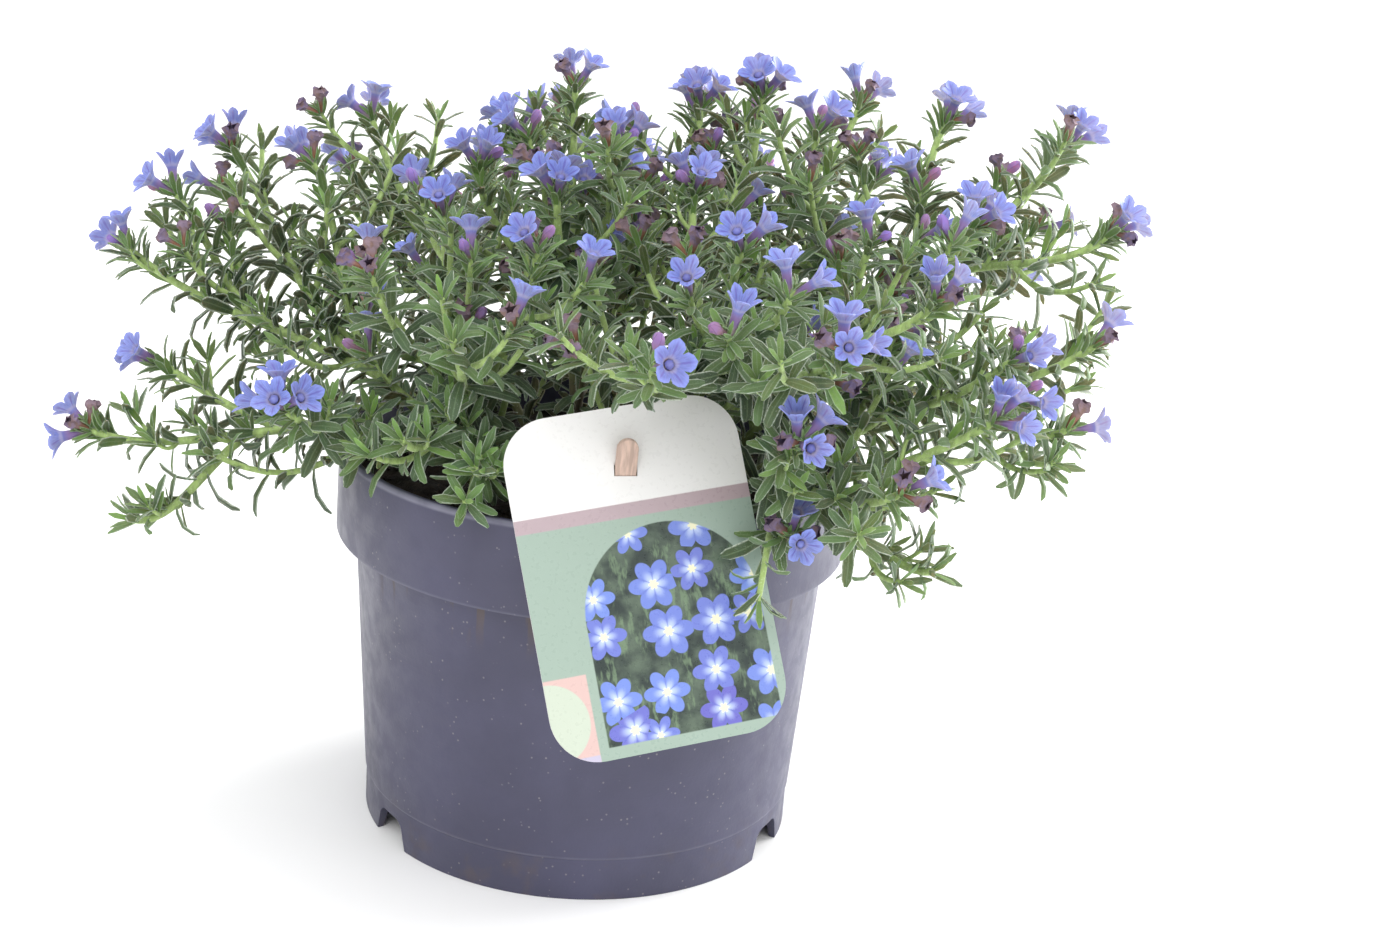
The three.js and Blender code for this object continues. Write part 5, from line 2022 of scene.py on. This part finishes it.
def within(point, limits):
    return all(low < part < high for part, (low, high) in zip(point, limits))


def in_crown(point, tip):
    """Whether a twig's end keeps inside the plant's outline, not far past the tip of its shoot."""
    inside = within(point, CROWN_LIMITS)
    reach = math.hypot(point[0], point[1]) < math.hypot(tip[0], tip[1]) + TWIG_LEAD
    return inside and reach and point[2] < tip[2] + TWIG_LEAD


def twig_points(root, axis, turn, reach, long):
    """A twig's four points, the point that it needs free past its end, and the rods that it fills."""
    side = between(*square_to(axis), turn)
    departure = between(side, axis, TWIG_DEPARTURE)
    rising = unit(TWIG_RISING[0] * axis + TWIG_RISING[1] * UP + TWIG_ASIDE[long] * side)
    middle = root + departure * reach * TWIG_MIDDLE
    end = middle + rising * reach * TWIG_RISE
    past = end + rising * TWIG_PAST
    chain = [(root + departure * 3, middle, TWIG_CLEARANCE), (middle, past, TWIG_CLEARANCE)]
    ahead, back = TWIG_HANDLES
    return [root, root + departure * reach * ahead, end - rising * reach * back, end], past, chain


def grow_twigs(spacing, branch, i, seed):
    """The twigs in a shoot's axils, short and leafy by turns, as (points, whether it is a long one)."""
    curve = branch["curves"][i]
    sprigs = branch.get("sprigs", {}).get(i, ())
    twigs = [([np.array(point, float) for point in points], True) for points in sprigs]
    distance = (0 if i else BURIED_LENGTH) + TWIGLESS_FOOT + TWIG_START * draw(seed, 60)
    k = 0
    while distance < curve.length - TWIG_END:
        axis = curve.tangent(distance)
        root = curve.point(distance)
        long = k % 2 == 0 and bool(distance < LONG_TWIG_SHARE * curve.length) and branch.get("bushy", True)
        reach = ranged(LONG_TWIG_REACH if long else SHORT_TWIG_REACH, draw(seed, 62 + k))
        if i == 0 and k < BASAL_SHOOTS:
            long, reach = True, ranged(BASAL_TWIG_REACH, draw(seed, 62 + k))
        for step in TWIG_TURNS:
            turn = GOLDEN_ANGLE * k + 360 * draw(seed, 61) + step
            points, past, chain = twig_points(root, axis, turn, reach, long)
            clear = chain_clear_of_pot(chain) and not hides_label(chain)
            if clear and in_crown(past, curve.points[3]):
                twigs.append((points, long))
                break
        distance += spacing / MM * ranged(STEP_RANGE, draw(seed, 90 + k))
        k += 1
    return twigs


def shoot_seed(b, i):
    return 100 + 10 * b + i


def twig_seed(b, i, k):
    return 31 * shoot_seed(b, i) + k


@functools.cache
def grown_twigs(spacing):
    """Each shoot's twigs by its branch and number, and the single blooms by branch, shoot and twig."""
    branches, _, rods = grown()
    twigs = {}
    for b, branch in enumerate(branches):
        for i in range(len(branch["curves"])):
            twigs[b, i] = grow_twigs(spacing, branch, i, shoot_seed(b, i))
    blooms = {}
    for (b, i), grown_here in twigs.items():
        for k, (points, long) in enumerate(grown_here):
            seed = twig_seed(b, i, k)
            if long and within(points[3], BLOOM_LIMITS) and draw(seed, 9) < BLOOM_SHARE:
                counts = BLOOM_KINDS[int(draw(seed, 10) * len(BLOOM_KINDS))]
                florets = head_florets(Bezier(points), counts, "flowers_single", "", seed, rods)
                if florets:
                    blooms[b, i, k] = {"branch": b, "seed": seed, "florets": florets}
    return twigs, blooms


def branch_piece(settings, b, branch, heads, blooms, templates):
    """One branch: its stems, twigs, leaves and the sepals of its flower heads."""
    twigs, leaves = [], []
    all_twigs, singles = grown_twigs(settings.twig_spacing)
    for i in range(len(branch["curves"])):
        leaves += shoot_leaves(settings, branch, i, shoot_seed(b, i))
        for k, (points, long) in enumerate(all_twigs[b, i]):
            blooming = (b, i, k) in singles
            twigs.append((points, long))
            leaves += twig_leaves(settings, Bezier(points), long, twig_seed(b, i, k), blooming)
            if blooming:
                end, axis = points[3], unit(points[3] - points[2])
                twigs.append(([end, end + axis, end + axis * 2, end + axis * 3], False))
    downy = [(curve, 0, SHOOT_TAPER) for curve in branch["curves"][1:]]
    downy.insert(0, (branch["curves"][0], BURIED_LENGTH + BARE_FOOT, LEADER_TAPER))
    downy += [(Bezier(points), 0, LONG_TWIG_TAPER) for points, long in twigs if long]
    pieces = [model_stems(branch, twigs)]
    for curve, first, taper in downy:
        pieces += downy_copies(templates["down"], curve, first, *taper)
    lengths = dict.fromkeys(FULL_GROWN, settings.leaf_length / MM)
    lengths["young"] = YOUNG_SHARE * settings.leaf_length / MM
    for root, axis, turns, (form, size, wide, rise, tint, age) in leaves:
        found = free_turn(turns, root, axis, rise, lengths[form] * size, blooms)
        if found is not None:
            along, upper = found
            place = frame_matrix(np.cross(along, upper), along, upper, root * MM, (size * wide, size, size))
            pieces.append(placed_copy(templates[form], place, tint, age))
    for head in [*heads, *singles.values()]:
        if head["branch"] == b:
            pieces += calyx_copies(head, templates["calyx"])
    return joined(pieces, f"leafy_branch_{branch['name']}")


def calyx_copies(head, calyx):
    """The sepals of a flower head."""
    pieces = []
    for k, (kind, root, direction, _) in enumerate(head["florets"]):
        size = CALYX_SIZES[kind]
        place = frame_matrix(*square_to(direction), direction, root * MM, (size, size, size))
        pieces.append(placed_copy(calyx, place, draw(head["seed"], k), CALYX_AGE))
    return pieces


def floret_form(kind, form, size):
    """Which form a floret takes for its draw between 0 and 1, and its scale."""
    if kind == "open":
        wide, funnel, cup = LOBE_OUTLINES
        name = wide if form < WIDE_SHARE else funnel if form < FUNNEL_SHARE else cup
        return name, (OPEN_SIZE * size, OPEN_SIZE * size, 1)
    if kind == "wilted":
        kind = WILTED_SEEDS[0 if form < 0.5 else 1][0]
    return kind, (size, size, size)


def floret_copies(head, templates):
    """A flower head's open flowers, buds and spent flowers."""
    pieces = []
    for k, (kind, root, direction, size) in enumerate(head["florets"]):
        tint, form = draw(head["seed"], 20 + k), draw(head["seed"], 30 + k)
        first, second = square_to(direction)
        x, y = between(first, second, FLORET_TURN), between(first, second, FLORET_TURN + 90)
        name, scale = floret_form(kind, form, size)
        place = frame_matrix(x, y, direction, root * MM, scale)
        pieces.append(placed_copy(templates[name], place, tint, form))
    return pieces


# Studio

def pale_floor():
    """A wide pale floor with eased edges."""
    floor = start(bpy.ops.mesh.primitive_plane_add, "studio_floor", size=FLOOR_SIZE)
    edit(floor)
    rounded_card(FLOOR_CORNER, 10, FLOOR_DEPTH)
    floor.data.materials.append(studio_floor())


def place_camera(settings):
    """The camera that looks down on the plant, rolled a little."""
    sine, cosine = math.sin(settings.elevation), math.cos(settings.elevation)
    level = Vector((1, 0, 0))
    level_up = Vector((0, sine, cosine))
    back = Vector((0, -cosine, sine))
    turn_sine, turn_cosine = math.sin(settings.roll), math.cos(settings.roll)
    right = level * turn_cosine + level_up * turn_sine
    up = level_up * turn_cosine - level * turn_sine
    data = bpy.data.cameras.new("camera")
    data.lens = settings.focal_length
    data.sensor_width = SENSOR_WIDTH
    data.clip_end = FARTHEST
    camera = add_to_scene(bpy.data.objects.new("camera", data))
    camera.matrix_world = frame_matrix(right, up, back, Vector(settings.target) + back * settings.distance)
    bpy.context.scene.camera = camera


def soft_light(name, place, size, power):
    """A large soft light that faces the plant."""
    data = bpy.data.lights.new(name, "AREA")
    data.shape = "DISK"
    data.size, data.energy = size, power
    light = add_to_scene(bpy.data.objects.new(name, data))
    aim = Vector(LIGHT_AIM) - Vector(place)
    light.matrix_world = Matrix.Translation(place) @ aim.to_track_quat("-Z", "Y").to_matrix().to_4x4()


# Operators

class PLANT_OT_nursery_pot(bpy.types.Operator):
    """Models the round nursery pot"""

    bl_idname = "potted_plant.nursery_pot"
    bl_label = "Nursery Pot"

    def execute(self, context):
        settings = context.scene.potted_plant.pot
        finish_piece(model_pot(settings), pot_plastic(settings.colour), "pot_plastic", "pot")
        return {"FINISHED"}


class PLANT_OT_potting_soil(bpy.types.Operator):
    """Models the soil and the loose crumbs on it"""

    bl_idname = "potted_plant.potting_soil"
    bl_label = "Potting Soil"

    def execute(self, context):
        settings = context.scene.potted_plant.pot
        finish = soil_finish(settings.soil_colour)
        soil = model_soil()
        finish_piece(soil, finish, "potting_soil", "soil")
        finish_piece(model_crumbs(settings.crumbs, soil), finish, "potting_soil")
        return {"FINISHED"}


class PLANT_OT_plant_label(bpy.types.Operator):
    """Models the printed label that leans on the rim"""

    bl_idname = "potted_plant.plant_label"
    bl_label = "Plant Label"

    def execute(self, context):
        settings = context.scene.potted_plant.label
        finish = printed_card(settings.card_colour, settings.mint, settings.coral)
        finish_piece(model_label(), finish, "label_card", "label")
        return {"FINISHED"}


class PLANT_OT_label_stick(bpy.types.Operator):
    """Models the stick that holds the label in the soil"""

    bl_idname = "potted_plant.label_stick"
    bl_label = "Label Stick"

    def execute(self, context):
        settings = context.scene.potted_plant.label
        finish_piece(model_peg(), peg_finish(settings.peg_colour), "peg", "label_peg")
        return {"FINISHED"}


class PLANT_OT_leafy_branches(bpy.types.Operator):
    """Models the branches with their twigs, leaves and sepals"""

    bl_idname = "potted_plant.leafy_branches"
    bl_label = "Leafy Branches"

    def execute(self, context):
        settings = context.scene.potted_plant.plant
        branches, heads, rods = grown()
        grown_twigs(settings.twig_spacing)
        blooms = rods.only("flowers_")
        templates = leaf_templates(settings)
        bark = stem_skin(settings.stem_colour)
        for b, branch in enumerate(branches):
            piece = branch_piece(settings, b, branch, heads, blooms, templates)
            piece.data.materials[0] = bark
            finish_piece(piece, None, "foliage", f"branch_{branch['name']}")
        for template in templates.values():
            remove(template)
        return {"FINISHED"}


class PLANT_OT_flower_heads(bpy.types.Operator):
    """Models the flower heads at the ends of the shoots"""

    bl_idname = "potted_plant.flower_heads"
    bl_label = "Flower Heads"

    def execute(self, context):
        settings = context.scene.potted_plant.plant
        templates = flower_templates(settings)
        branches, heads, _ = grown()
        for head in heads:
            piece = joined(floret_copies(head, templates), head["node"].replace("flowers_", "flower_head_"))
            finish_piece(piece, None, "petals", head["node"])
        singles = grown_twigs(settings.twig_spacing)[1].values()
        for b, branch in enumerate(branches):
            copies = []
            for head in singles:
                if head["branch"] == b:
                    copies += floret_copies(head, templates)
            if copies:
                finish_piece(joined(copies, f"single_blooms_{branch['name']}"), None, "petals")
        for template in templates.values():
            remove(template)
        return {"FINISHED"}


class PLANT_OT_studio(bpy.types.Operator):
    """Sets up the pale floor, the soft lights and the camera"""

    bl_idname = "potted_plant.studio"
    bl_label = "Studio"

    def execute(self, context):
        pale_floor()
        place_camera(context.scene.potted_plant.studio)
        for name, *look in LIGHTS:
            soft_light(name, *look)
        world = bpy.data.worlds.new("studio_world")
        world.use_nodes = True
        world.node_tree.nodes["Background"].inputs["Color"].default_value = (1, 1, 1, 1)
        world.node_tree.nodes["Background"].inputs["Strength"].default_value = SKY_STRENGTH
        context.scene.world = world
        context.scene.view_settings.view_transform = "Standard"
        return {"FINISHED"}


class PLANT_PT_panel(bpy.types.Panel):
    """Lists the steps that build the potted plant."""

    bl_idname = "PLANT_PT_panel"
    bl_label = "Potted Plant"
    bl_space_type = "VIEW_3D"
    bl_region_type = "UI"
    bl_category = "Potted plant"

    def draw(self, context):
        for step in STEPS:
            self.layout.operator(step.bl_idname)


GROUPS = (PotSettings, LabelSettings, PlantSettings, StudioSettings, PottedPlantSettings)
STEPS = (
    PLANT_OT_nursery_pot,
    PLANT_OT_potting_soil,
    PLANT_OT_plant_label,
    PLANT_OT_label_stick,
    PLANT_OT_flower_heads,
    PLANT_OT_leafy_branches,
    PLANT_OT_studio,
)


def register():
    for made in (*GROUPS, *STEPS, PLANT_PT_panel):
        bpy.utils.register_class(made)
    bpy.types.Scene.potted_plant = PointerProperty(type=PottedPlantSettings)


def unregister():
    del bpy.types.Scene.potted_plant
    for made in (PLANT_PT_panel, *reversed(STEPS), *reversed(GROUPS)):
        bpy.utils.unregister_class(made)


def main():
    register()
    for step in STEPS:
        group, name = step.bl_idname.split(".")
        getattr(getattr(bpy.ops, group), name)()


if __name__ == "__main__":
    main()
